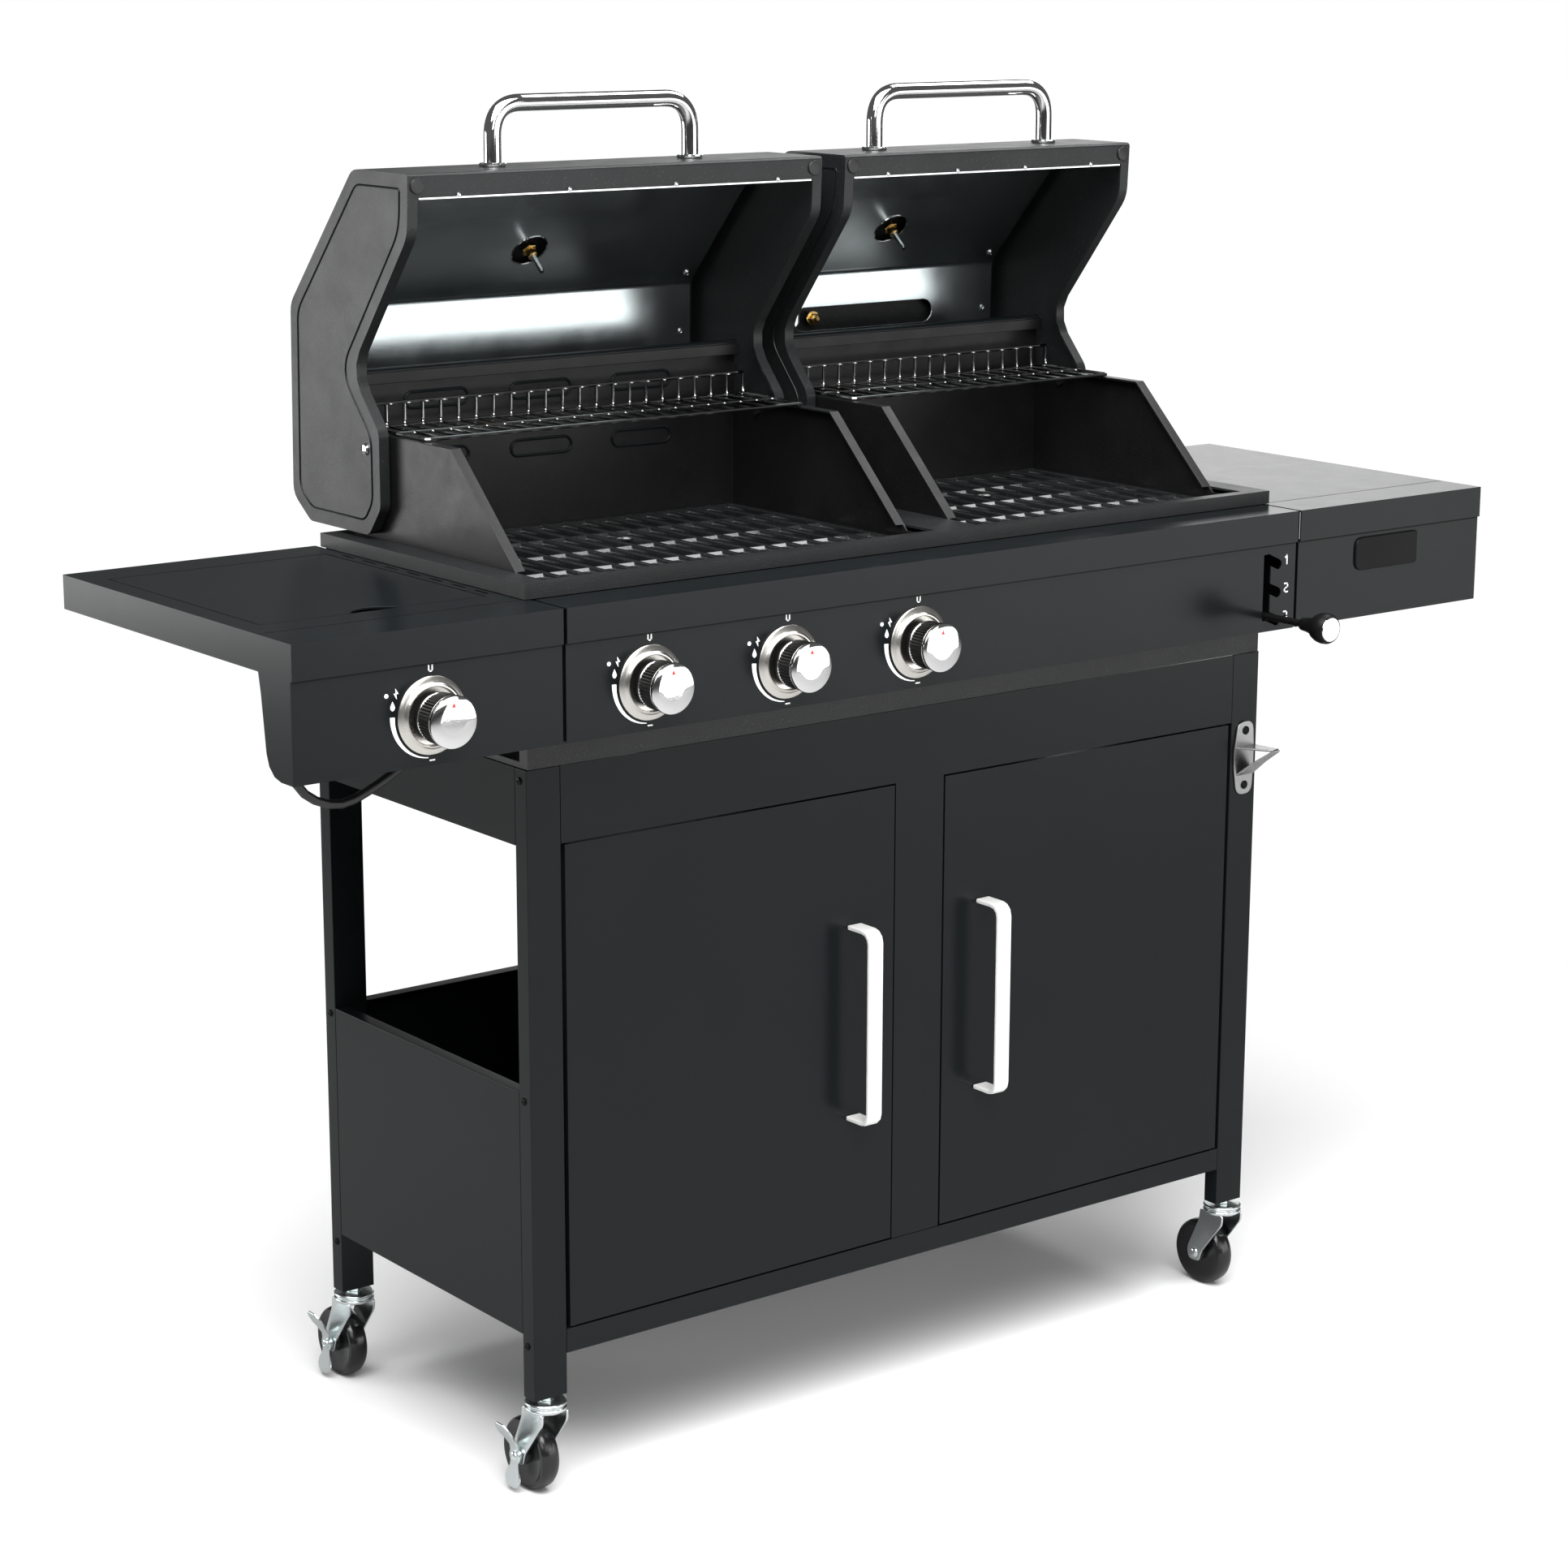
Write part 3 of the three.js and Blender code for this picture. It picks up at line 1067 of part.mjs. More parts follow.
const FLAP_X = [-TABLE_OUTER + FLAP_INSET, -TABLE_OUTER + FLAP_INSET + FLAP_WIDTH];
const FLAP_Y = [-FLAP_FRONT, -FLAP_FRONT + FLAP_DEPTH];
const flapOpening = block(
  FLAP_X[0] - FLAP_GAP, FLAP_X[1] + FLAP_GAP, FLAP_Y[0] - FLAP_GAP, FLAP_Y[1] + FLAP_GAP,
  TABLE_TOP - 3 * SHEET, TABLE_TOP + 1);
const VENT_PITCH = 42;
const ventRow = [0, 1, 2, 3, 4, 5, 6].map((i) => {
  const y = FLAP_Y[0] + 8 + i * VENT_PITCH;
  const x = -DECK_HALF - 8;
  return block(x - 2, x + 2, y, y + VENT_PITCH - 18, TABLE_TOP - 3 * SHEET, TABLE_TOP + 1);
});

// Two ears under the table hold the flap's hinge pins.
const EAR = 6;
const flapPin = { y: FLAP_Y[1] - FLAP_PIN_INSET, z: TABLE_TOP - FLAP_PIN_INSET };
const ears = FLAP_X.map((x, i) => {
  const out = i === 0 ? -1 : 1;
  const near = x + out * (FLAP_GAP + GAP);
  const ear = block(
    Math.min(near, near + out * EAR), Math.max(near, near + out * EAR),
    flapPin.y - EAR, flapPin.y + EAR, flapPin.z - EAR, TABLE_TOP - 1);
  const hole = rod(
    [near - out, flapPin.y, flapPin.z], [near + out * (EAR + 1), flapPin.y, flapPin.z],
    FLAP_PIN + RUNNING, 8);
  return { ear, hole };
});
const tableHoles = [flapOpening, ventRow, stemHole(SIDE_KNOB_X)];
const tableLeft = join(sideTable(-1, tableHoles), ears.map(({ ear }) => ear));
add("side_table_left", cut(tableLeft, ears.map(({ hole }) => hole)), powderCoat);
add("side_table_right", sideTable(1, []), powderCoat);

// The flap over the side burner: a folded pan with a finger scoop at its front edge.
function burnerFlap() {
  const FLAP_EDGE = 10;
  const pan = block(...FLAP_X, ...FLAP_Y, TABLE_TOP - FLAP_EDGE, TABLE_TOP);
  const hollow = block(
    FLAP_X[0] + SHEET, FLAP_X[1] - SHEET, FLAP_Y[0] + SHEET, FLAP_Y[1] - SHEET,
    TABLE_TOP - FLAP_EDGE - 1, TABLE_TOP - SHEET);
  const scoop = prismZ(
    circle((FLAP_X[0] + FLAP_X[1]) / 2, FLAP_Y[0] - 14, 60, 16),
    TABLE_TOP - FLAP_EDGE - 1, TABLE_TOP + 1);
  const pins = FLAP_X.map((x, i) => {
    const out = i === 0 ? -1 : 1;
    return rod(
      [x - out, flapPin.y, flapPin.z],
      [x + out * (FLAP_GAP + GAP + EAR - 1), flapPin.y, flapPin.z], FLAP_PIN, 8);
  });
  return join(cut(pan, hollow, scoop), pins);
}
add("burner_flap", burnerFlap(), powderCoat);

// A round bowl with its burner, the feed tube from the valve, and the valve block.
function sideBurner() {
  const x = SIDE_KNOB_X;
  const y = (FLAP_Y[0] + FLAP_Y[1]) / 2;
  const radius = BOWL_DIAMETER / 2;
  const rim = TABLE_TOP - 3 * SHEET - 8;
  const floor = rim - BOWL_DEPTH;
  const bowl = turned([
    [0, floor], [radius - 34, floor], [radius - 8, floor + 16], [radius, rim - SHEET],
    [radius + 10, rim - SHEET], [radius + 10, rim], [radius - SHEET, rim],
    [radius - 10, floor + 18], [radius - 35, floor + SHEET], [0, floor + SHEET],
  ], 20, Z, [x, y, 0]);
  const head = turned(
    [[0, floor + 1], [12, floor + 1], [16, floor + 14], [38, floor + 18], [38, floor + 26],
      [0, floor + 26]], 14, Z, [x, y, 0]);
  const half = VALVE_BLOCK / 2;
  const feedZ = CONTROL_Z;
  const bend = y - 30;
  const feed = [
    rod([x, VALVE_Y + VALVE_BLOCK - 2, feedZ], [x, bend, feedZ], 14, 8),
    rod([x, bend, feedZ - 7], [x, bend, floor + 1], 14, 8),
  ];
  const valve = block(x - half, x + half, VALVE_Y, VALVE_Y + VALVE_BLOCK, feedZ - half, feedZ + half);
  const inletY = VALVE_Y + VALVE_BLOCK / 2;
  const inlet = rod([x - half + 1, inletY, feedZ], [HOSE_END[0] + 1, inletY, feedZ], HOSE_DIAMETER, 8);
  return join(bowl, head, feed, valve, inlet);
}

// The hose from the manifold's end to the side burner's valve, dipping under the fascia.
const HOSE_Y = VALVE_Y + VALVE_BLOCK / 2;
const HOSE_START = [
  MANIFOLD_LEFT - HOSE_GAP, HOSE_Y, CONTROL_Z - VALVE_BLOCK / 2 - MANIFOLD_TUBE / 2 + 3,
];
const HOSE_END = [SIDE_KNOB_X - 45, HOSE_Y, CONTROL_Z];
const HOSE_ROUTE = [
  HOSE_START,
  [-505, HOSE_Y + 4, CONTROL_Z - 20],
  [-545, HOSE_Y + 20, CONTROL_Z - 26],
  [-590, -212, CONTROL_Z - 36],
  [-630, -203, CONTROL_Z - 52],
  [-668, -200, CONTROL_Z - 74],
  [-711, -200, CONTROL_Z - 88],
  [-748, -202, CONTROL_Z - 74],
  [-768, -208, CONTROL_Z - 44],
  [-766, -216, CONTROL_Z - 14],
  [-745, HOSE_Y + 10, CONTROL_Z + 2],
  [-718, HOSE_Y + 1, CONTROL_Z],
  [HOSE_END[0] - HOSE_GAP, HOSE_END[1], HOSE_END[2]],
];
add("side_burner", sideBurner(), enamel);
const hosePath = new THREE.CatmullRomCurve3(HOSE_ROUTE.map((p) => new THREE.Vector3(...p)));
add("gas_hose", tube(hosePath, HOSE_DIAMETER, 8, 30), rubber);

// ---------------------------------------------------------------- origin
// The origin is the middle of the footprint, on the floor.
const extent = new THREE.Box3().setFromObject(grill);
const middle = extent.getCenter(new THREE.Vector3());
grill.position.set(-middle.x, -middle.y, -extent.min.z);

export default grill;
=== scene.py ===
"""The looks of a dual-fuel barbecue grill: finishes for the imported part, and finer pieces over it."""
import json
import math

import bpy
import numpy as np
from mathutils import Matrix, Vector


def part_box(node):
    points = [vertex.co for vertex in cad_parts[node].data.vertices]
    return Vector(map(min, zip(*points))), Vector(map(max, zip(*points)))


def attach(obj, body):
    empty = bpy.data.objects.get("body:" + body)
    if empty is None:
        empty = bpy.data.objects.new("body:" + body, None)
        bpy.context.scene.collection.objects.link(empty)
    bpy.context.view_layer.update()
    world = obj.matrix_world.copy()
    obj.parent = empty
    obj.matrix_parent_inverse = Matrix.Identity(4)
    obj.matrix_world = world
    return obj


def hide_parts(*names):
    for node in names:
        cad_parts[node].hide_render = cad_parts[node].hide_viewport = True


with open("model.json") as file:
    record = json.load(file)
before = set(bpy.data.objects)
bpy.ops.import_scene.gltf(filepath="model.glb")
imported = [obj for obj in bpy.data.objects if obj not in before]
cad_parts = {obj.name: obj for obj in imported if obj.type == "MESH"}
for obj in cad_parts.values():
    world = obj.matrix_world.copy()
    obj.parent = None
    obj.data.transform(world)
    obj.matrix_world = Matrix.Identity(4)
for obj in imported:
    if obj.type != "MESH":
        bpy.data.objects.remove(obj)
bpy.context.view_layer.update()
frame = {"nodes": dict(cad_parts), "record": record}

# ---------------------------------------------------------------- places
# Places below are written in millimetres from the middle of the cabinet, on the floor.
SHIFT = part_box("leg_front_left")[0][1] + 0.2


def at(x, y, z):
    """A place in millimetres from the cabinet's middle, as a point in metres in the part's frame."""
    return np.array([x / 1000, y / 1000 + SHIFT, z / 1000])


def corners(node):
    """The lowest and highest corner of a CAD node as two arrays."""
    low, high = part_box(node)
    return np.array(low), np.array(high)


def middle_of(node):
    """The middle of a CAD node, as x, y and z in millimetres from the cabinet's middle."""
    low, high = corners(node)
    return (low + high) * 500 - np.array([0, SHIFT * 1000, 0])


FASCIA_Y = -260  # the face of the fascias
LEG_X = 482
LEG_FACE_X = 502
LEG_FRONT_Y = -202  # just before the legs' front faces
CASTER_Y = 190
AXLE_Z = 39
TRAIL = 28  # from the swivel's axis back to the axle
WALL_Y = 159.5  # the front of the fireboxes' back walls
KNOBS = {key: middle_of(f"knob_{key}")[0] for key in ("1", "2", "3", "side")}
KNOB_Z = middle_of("knob_1")[2]


# ---------------------------------------------------------------- finishes
def link(tree, a, out, b, into):
    """Joins an output of node a to an input of node b."""
    tree.links.new(a.outputs[out], b.inputs[into])


def noise(tree, coords, scale, detail, rough=0.6):
    """Fractal noise at a scale in cells per metre."""
    n = tree.nodes.new("ShaderNodeTexNoise")
    n.inputs["Scale"].default_value = scale
    n.inputs["Detail"].default_value = detail
    n.inputs["Roughness"].default_value = rough
    link(tree, coords, "Object", n, "Vector")
    return n


def spread(tree, source, out, low, high, a, b):
    """Maps a texture value from low..high to a..b."""
    m = tree.nodes.new("ShaderNodeMapRange")
    m.inputs["From Min"].default_value = low
    m.inputs["From Max"].default_value = high
    m.inputs["To Min"].default_value = a
    m.inputs["To Max"].default_value = b
    link(tree, source, out, m, "Value")
    return m


GRAIN_HEIGHT = 0.0004  # metres
SHARP_ANGLE = 35  # degrees; edges sharper than this are not shaded smooth


def surface(name, color, rough, grain, grain_scale, metal=0.0, patch=0.03, tint=0.12, coat=0.0,
            specular=0.5, speckle=0.0):
    """A finish: base colour with slow tint patches, roughness patches, a fine grain as bump and
    optional light speckles."""
    material = bpy.data.materials.new(name)
    material.use_nodes = True
    tree = material.node_tree
    shader = tree.nodes["Principled BSDF"]
    coords = tree.nodes.new("ShaderNodeTexCoord")
    shader.inputs["Metallic"].default_value = metal
    shader.inputs["Coat Weight"].default_value = coat
    shader.inputs["Coat Roughness"].default_value = 0.12
    shader.inputs["Specular IOR Level"].default_value = specular

    slow = noise(tree, coords, 7.0, 3.0)
    mix = tree.nodes.new("ShaderNodeMix")
    mix.data_type = "RGBA"
    dark = [c * (1 - tint) for c in color]
    light = [min(1.0, c * (1 + tint)) for c in color]
    mix.inputs["A"].default_value = (*dark, 1)
    mix.inputs["B"].default_value = (*light, 1)
    link(tree, spread(tree, slow, "Fac", 0.35, 0.65, 0, 1), "Result", mix, "Factor")
    base = mix

    if speckle:
        dots = noise(tree, coords, 420.0, 2.0, 0.5)
        amount = spread(tree, dots, "Fac", 0.62, 0.72, 0, speckle)
        over = tree.nodes.new("ShaderNodeMix")
        over.data_type = "RGBA"
        over.inputs["B"].default_value = (*[min(1, c * 9 + 0.05) for c in color], 1)
        link(tree, base, "Result", over, "A")
        link(tree, amount, "Result", over, "Factor")
        base = over

    link(tree, base, "Result", shader, "Base Color")

    scuff = noise(tree, coords, 24.0, 5.0, 0.65)
    link(tree, spread(tree, scuff, "Fac", 0.3, 0.7, rough - patch, rough + patch),
         "Result", shader, "Roughness")

    fine = noise(tree, coords, grain_scale, 2.0, 0.5)
    bump = tree.nodes.new("ShaderNodeBump")
    bump.inputs["Strength"].default_value = grain
    bump.inputs["Distance"].default_value = GRAIN_HEIGHT
    link(tree, fine, "Fac", bump, "Height")
    link(tree, bump, "Normal", shader, "Normal")
    return material


POWDER = surface("powder coat", (0.0046, 0.0060, 0.0066), 0.25, grain=0.05, grain_scale=1500,
                 tint=0.05, patch=0.010, specular=0.20)
ROUGH_POWDER = surface("rough powder coat", (0.0105, 0.0112, 0.0118), 0.38, grain=0.45,
                       grain_scale=700, tint=0.12, patch=0.04, specular=0.34, speckle=0.14)
ENAMEL = surface("enamel", (0.0060, 0.0060, 0.0065), 0.34, grain=0.25, grain_scale=700,
                 tint=0.2, patch=0.06, speckle=0.06, specular=0.24)
IRON = surface("cast iron", (0.008, 0.0085, 0.009), 0.24, grain=0.4, grain_scale=520,
               tint=0.3, patch=0.05, speckle=0.18, specular=0.75, coat=0.35)
GALVANISED = surface("galvanised sheet", (0.70, 0.77, 0.78), 0.23, metal=1.0, grain=0.04,
                     grain_scale=240, tint=0.05, patch=0.03)
CHROME = surface("chrome", (0.82, 0.82, 0.82), 0.06, metal=1.0, grain=0.03,
                 grain_scale=500, tint=0.03, patch=0.02)
# chrome at about half the brightness of the other chrome: a painted dark reflection of the surroundings
# that the rack wires reflect
WIRE_WITH_PAINTED_DARK_REFLECTION = surface("chromed wire", (0.42, 0.42, 0.42), 0.12, metal=1.0, grain=0.05,
               grain_scale=700, tint=0.10, patch=0.04)
SATIN_CHROME = surface("satin chrome", (0.70, 0.68, 0.64), 0.26, metal=1.0, grain=0.02,
                       grain_scale=900, tint=0.02, patch=0.02)
ZINC = surface("zinc", (0.82, 0.87, 0.87), 0.22, metal=1.0, grain=0.05, grain_scale=500,
               tint=0.06, patch=0.05)
SATIN = surface("satin silver", (0.80, 0.80, 0.79), 0.38, metal=0.25, grain=0.12,
                grain_scale=1200, tint=0.04, patch=0.05)
WHEEL = surface("wheel", (0.006, 0.006, 0.0065), 0.22, grain=0.08, grain_scale=300, tint=0.2,
                patch=0.06, coat=0.25)
# black plastic for grips, knobs, screws and print; also the dark strips of painted shade in the
# cabinet's gaps
BLACK = surface("black plastic and painted shade", (0.0035, 0.0035, 0.0035), 0.40, grain=0.15, grain_scale=900,
                tint=0.2, patch=0.04, specular=0.14)
# sheet darkened by heat, and darker still as painted shade: the flame tamer, charcoal tray and burners
# lie in the shade under the grates
HEATED_WITH_PAINTED_SHADE = surface("heat-darkened sheet with painted shade", (0.005, 0.0048, 0.0045), 0.50, metal=0.1, grain=0.2,
                 grain_scale=300, tint=0.3, patch=0.08, specular=0.10)
STEEL = surface("bent steel", (0.38, 0.38, 0.38), 0.30, metal=1.0, grain=0.10,
                grain_scale=900, tint=0.10, patch=0.05)
RUBBER = surface("rubber", (0.011, 0.011, 0.011), 0.42, grain=0.2, grain_scale=600, tint=0.2,
                 patch=0.08)
BRASS = surface("brass", (0.62, 0.43, 0.16), 0.26, metal=1.0, grain=0.08, grain_scale=600,
                tint=0.08, patch=0.06)
# white for print and the dial's face; also the liner edge's painted highlight
WHITE = surface("white marking and painted highlight", (0.84, 0.85, 0.85), 0.5, grain=0.05, grain_scale=900,
                tint=0.03)
RED = surface("red marking", (0.60, 0.02, 0.02), 0.45, grain=0.05, grain_scale=900, tint=0.05)

LOOKS = {
    "powder_coat": POWDER, "enamel": ENAMEL, "cast_iron": IRON, "galvanised": GALVANISED,
    "chrome": CHROME, "zinc": ZINC, "satin_silver": SATIN, "tyre_rubber": WHEEL,
    "brass": BRASS, "black_grip": BLACK, "hose_rubber": RUBBER,
}


# ---------------------------------------------------------------- shells
# A shell is (points, faces): one closed skin with its faces outwards.
def loft(rings):
    """Rings of points joined one after the other by quads; the first and last are closed by a face.
    Each ring runs anticlockwise about the way the rings advance."""
    rings = np.asarray(rings, float)
    count, around, _ = rings.shape
    i = np.arange(count - 1)[:, None] * around
    j = np.arange(around)[None, :]
    k = (j + 1) % around
    quads = np.stack([i + j, i + k, i + around + k, i + around + j], -1).reshape(-1, 4)
    faces = quads.tolist()
    faces.append(list(range(around - 1, -1, -1)))
    faces.append(list(range((count - 1) * around, count * around)))
    return rings.reshape(-1, 3), faces


def basis(direction):
    """Two unit vectors that make a right-handed set with a direction, for each row."""
    t = direction / np.linalg.norm(direction, axis=-1, keepdims=True)
    up = np.where(np.abs(t[..., 2:3]) < 0.9, [0.0, 0.0, 1.0], [1.0, 0.0, 0.0])
    u = np.cross(up, t)
    u /= np.linalg.norm(u, axis=-1, keepdims=True)
    return t, u, np.cross(t, u)


def tube(path, radius, sides=16):
    """A round bar along a line of points: a circle of the radius, square to the line, carried along
    it without twist."""
    path = np.asarray(path, float)
    radius = np.broadcast_to(radius, len(path))
    way = np.gradient(path, axis=0)
    way /= np.linalg.norm(way, axis=1, keepdims=True)
    _, u, _ = basis(way[0])
    rings = []
    angle = np.linspace(0, 2 * np.pi, sides, endpoint=False)
    for p, t, r in zip(path, way, radius):
        u = u - t * np.dot(u, t)
        u /= np.linalg.norm(u)
        v = np.cross(t, u)
        rings.append(p + r * (np.cos(angle)[:, None] * u + np.sin(angle)[:, None] * v))
    return loft(rings)


def bend(points, radius, steps=8):
    """A line of points with each inner corner replaced by a curve that starts the radius before it:
    a quadratic curve pulled to the corner."""
    points = [np.asarray(p, float) for p in points]
    out = [points[0]]
    for a, b, c in zip(points, points[1:], points[2:]):
        start = b + (a - b) / np.linalg.norm(a - b) * radius
        end = b + (c - b) / np.linalg.norm(c - b) * radius
        t = np.linspace(0, 1, steps + 1)[:, None]
        out.extend((1 - t) ** 2 * start + 2 * t * (1 - t) * b + t ** 2 * end)
    out.append(points[-1])
    return np.array(out)


def turned(profile, place, axis=(0, 0, 1), sides=32, flutes=0, depth=0.0, fluted=()):
    """A profile of [radius, height] turned about an axis through a place. On the heights in fluted,
    the radius also falls by the depth in a cosine wave with that many flutes."""
    t, u, v = basis(np.array(axis, float))
    angle = np.linspace(0, 2 * np.pi, sides, endpoint=False)
    rings = []
    for index, (r, h) in enumerate(profile):
        radii = np.full(sides, max(r, 1e-5))
        if index in fluted:
            radii = radii - depth * (0.5 - 0.5 * np.cos(angle * flutes))
        ring = np.asarray(place) + t * h + radii[:, None] * (
            np.cos(angle)[:, None] * u + np.sin(angle)[:, None] * v)
        rings.append(ring)
    return loft(rings)


def slab(low, high):
    """A box between two corners."""
    (x0, y0, z0), (x1, y1, z1) = low, high
    ring = [(x0, y0), (x1, y0), (x1, y1), (x0, y1)]
    return loft([[(x, y, z) for x, y in ring] for z in (z0, z1)])


def plate(outline, start, end, axis="x"):
    """An outline carried along x, y or z from start to end. The outline is in (y, z), (z, x) or
    (x, y). Its signed area tells which way round it runs, and it is turned to run anticlockwise."""
    outline = np.asarray(outline, float)
    nxt = np.roll(outline, -1, axis=0)
    if np.sum(outline[:, 0] * nxt[:, 1] - outline[:, 1] * nxt[:, 0]) < 0:
        outline = outline[::-1]
    order = {"x": (1, 2, 0), "y": (2, 0, 1), "z": (0, 1, 2)}[axis]
    rings = []
    for w in (start, end):
        ring = np.zeros((len(outline), 3))
        ring[:, order[0]] = outline[:, 0]
        ring[:, order[1]] = outline[:, 1]
        ring[:, order[2]] = w
        rings.append(ring)
    return loft(rings)


def screw(foot, axis, radius=0.004, depth=0.0022):
    """A pan-head screw: a low dome whose middle dips a little."""
    return turned([(radius, 0), (radius, depth * 0.35), (radius * 0.8, depth * 0.8),
                   (radius * 0.4, depth), (radius * 0.25, depth * 0.7)], foot, axis, 16)


def joined(*shells):
    """Several shells as one list of points and faces."""
    points, faces, count = [], [], 0
    for verts, polygons in shells:
        points.append(np.asarray(verts))
        faces.extend([[i + count for i in polygon] for polygon in polygons])
        count += len(verts)
    return np.concatenate(points), faces


def soften(thing, width, segments=2, angle=SHARP_ANGLE):
    """Rounds the edges sharper than an angle."""
    bevel = thing.modifiers.new("round", "BEVEL")
    bevel.width = width
    bevel.segments = segments
    bevel.limit_method = "ANGLE"
    bevel.angle_limit = math.radians(angle)
    bevel.use_clamp_overlap = True
    bevel.harden_normals = False
    normals = thing.modifiers.new("normals", "WEIGHTED_NORMAL")
    normals.keep_sharp = True


def piece(name, shell, body, material, node=(), rounding=0.0, segments=2):
    """Makes an object from a shell, which moves with a CAD body and may stand for CAD nodes."""
    points, faces = shell
    mesh = bpy.data.meshes.new(name)
    mesh.from_pydata(np.asarray(points).tolist(), [], faces)
    mesh.validate()
    mesh.shade_smooth()
    mesh.set_sharp_from_angle(angle=math.radians(SHARP_ANGLE))
    mesh.materials.append(material)
    thing = bpy.data.objects.new(name, mesh)
    bpy.context.scene.collection.objects.link(thing)
    if rounding:
        soften(thing, rounding, segments)
    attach(thing, body)
    if node:
        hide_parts(*([node] if isinstance(node, str) else node))
    return thing


# ---------------------------------------------------------------- CAD pieces that stay
ROUNDING = {
    "door_left": 1.0, "door_right": 1.0, "control_panel": 1.0, "side_table_left": 1.0,
    "side_table_right": 1.0, "burner_flap": 0.9, "lid_gas": 1.0, "lid_charcoal": 1.0,
    "door_handle_left": 1.6, "door_handle_right": 1.6, "gas_hose": 0.0, "flame_tamer": 0.0,
}


def dress(node):
    """Gives a CAD node its finish, welded and cleaned flat faces, and small rounded edges."""
    thing = frame["nodes"][node]
    slot_name = next(s["material_slot"] for s in frame["record"]["subparts"] if s["node"] == node)
    thing.data.materials.clear()
    thing.data.materials.append(LOOKS[slot_name])
    thing.data.shade_smooth()
    weld = thing.modifiers.new("weld", "WELD")
    weld.merge_threshold = 0.00002
    width = ROUNDING.get(node, 0.7)
    if width:
        flat = thing.modifiers.new("flat", "DECIMATE")
        flat.decimate_type = "DISSOLVE"
        flat.angle_limit = math.radians(0.5)
        soften(thing, width / 1000, 2, 30)
    else:
        normals = thing.modifiers.new("normals", "WEIGHTED_NORMAL")
        normals.keep_sharp = True


for node_name in frame["nodes"]:
    dress(node_name)
for node_name in ("head_frame", "lid_gas", "lid_charcoal"):
    frame["nodes"][node_name].data.materials[0] = ROUGH_POWDER
# the parts under the grates: heat-darkened, with painted shade
for node_name in ("flame_tamer", "charcoal_tray", "burner_1", "burner_2", "burner_3"):
    frame["nodes"][node_name].data.materials[0] = HEATED_WITH_PAINTED_SHADE


# ---------------------------------------------------------------- grates and racks
GRATE_PITCH = 0.028
WIRE_PITCH = 0.022


def grate(fuel):
    """Bars from front to back with sloped sides, tied by five rows across: six-sided sections
    carried along y at an even pitch, and five-sided ones carried along x."""
    low, high = corners(f"grate_{fuel}")
    width = high[0] - low[0]
    edge = 0.0045
    bars = round((width - 2 * edge) / GRATE_PITCH)
    pitch = (width - 2 * edge) / bars
    shells = []
    z0, z1 = low[2], high[2]
    half, top = 0.0046, 0.0030
    for i in range(bars + 1):
        x = low[0] + edge + i * pitch
        y0, y1 = low[1], high[1]
        # section in (z, x), carried along y
        section = [(z0, x - half), (z0, x + half), (z1 - 0.002, x + half * 0.92),
                   (z1, x + top), (z1, x - top), (z1 - 0.002, x - half * 0.92)]
        shells.append(plate(section, y0, y1, "y"))
    rows = 4
    tie = 0.008
    step = (high[1] - low[1] - tie) / rows
    for k in range(rows + 1):
        y = low[1] + k * step
        section = [(y, z0 + 0.001), (y + tie, z0 + 0.001), (y + tie, z1 - 0.0008),
                   (y + tie * 0.62, z1 - 0.0004), (y + 0.0002, z1 - 0.0040)]
        shells.append(plate(section, low[0] + 0.001, high[0] - 0.001, "x"))
    # a half ring to lift the grate by
    middle = np.array([(low[0] + high[0]) / 2, low[1] + 0.6 * (high[1] - low[1]), z1 - 0.0025])
    turn = np.linspace(0, np.pi, 13)
    ring = [middle + np.array([0.014 * math.cos(a), 0.014 * math.sin(a), 0]) for a in turn]
    shells.append(tube(ring, 0.003, 8))
    piece(f"grate_{fuel}_cast", joined(*shells), "cabinet", IRON,
          f"grate_{fuel}", rounding=0.0007, segments=1)


def rack(fuel):
    """Wires along the rack, and cross wires that turn up into the fence at the back: straight
    lines with rounded corners, as round bars."""
    low, high = corners(f"warming_rack_{fuel}")
    radius = 0.002
    shells = []
    x0, x1 = low[0] + radius, high[0] - radius
    z = low[2] + radius
    y0, y1 = low[1] + radius, high[1] - radius
    top = high[2] - radius
    count = round((high[0] - low[0] - 2 * radius) / WIRE_PITCH)
    frame_line = bend([(x0, y1, top), (x0, y1, z), (x0, y0, z), (x1, y0, z), (x1, y1, z),
                       (x1, y1, top)], 0.008, 5)
    shells.append(tube(frame_line, radius, 8))
    for share in (0.5, 0.985):
        y = y0 + (y1 - y0) * share
        shells.append(tube([(x0, y, z), (x1, y, z)], radius * 0.9, 8))
    shells.append(tube([(x0, y1, top), (x1, y1, top)], radius, 8))
    for i in range(1, count):
        x = x0 + (x1 - x0) * i / count
        line = bend([(x, y0, z), (x, y1, z), (x, y1, top)], 0.005, 4)
        shells.append(tube(line, radius * 0.8, 8))
    # the wires take the darkened chrome, a painted dark reflection
    piece(f"warming_rack_{fuel}_wires", joined(*shells), "cabinet", WIRE_WITH_PAINTED_DARK_REFLECTION,
          f"warming_rack_{fuel}")


for fuel_name in ("gas", "charcoal"):
    grate(fuel_name)
    rack(fuel_name)


# ---------------------------------------------------------------- fireboxes
def obround(x, z, length, height, y, thick=0.0017):
    """A raised bead round a slot with round ends, on a wall that faces the front."""
    r = height / 2
    left = np.linspace(np.pi / 2, 3 * np.pi / 2, 9)
    right = np.linspace(-np.pi / 2, np.pi / 2, 9)
    line = [(x - length / 2 + r + r * math.cos(a), z + r * math.sin(a)) for a in left]
    line += [(x + length / 2 - r + r * math.cos(a), z + r * math.sin(a)) for a in right]
    line.append(line[0])
    return tube([at(px, y, pz) for px, pz in line], thick, 8)


WALL_SLOTS_X = (-371, -239, -107)
WALL_SLOTS_Z = (1029, 1091)


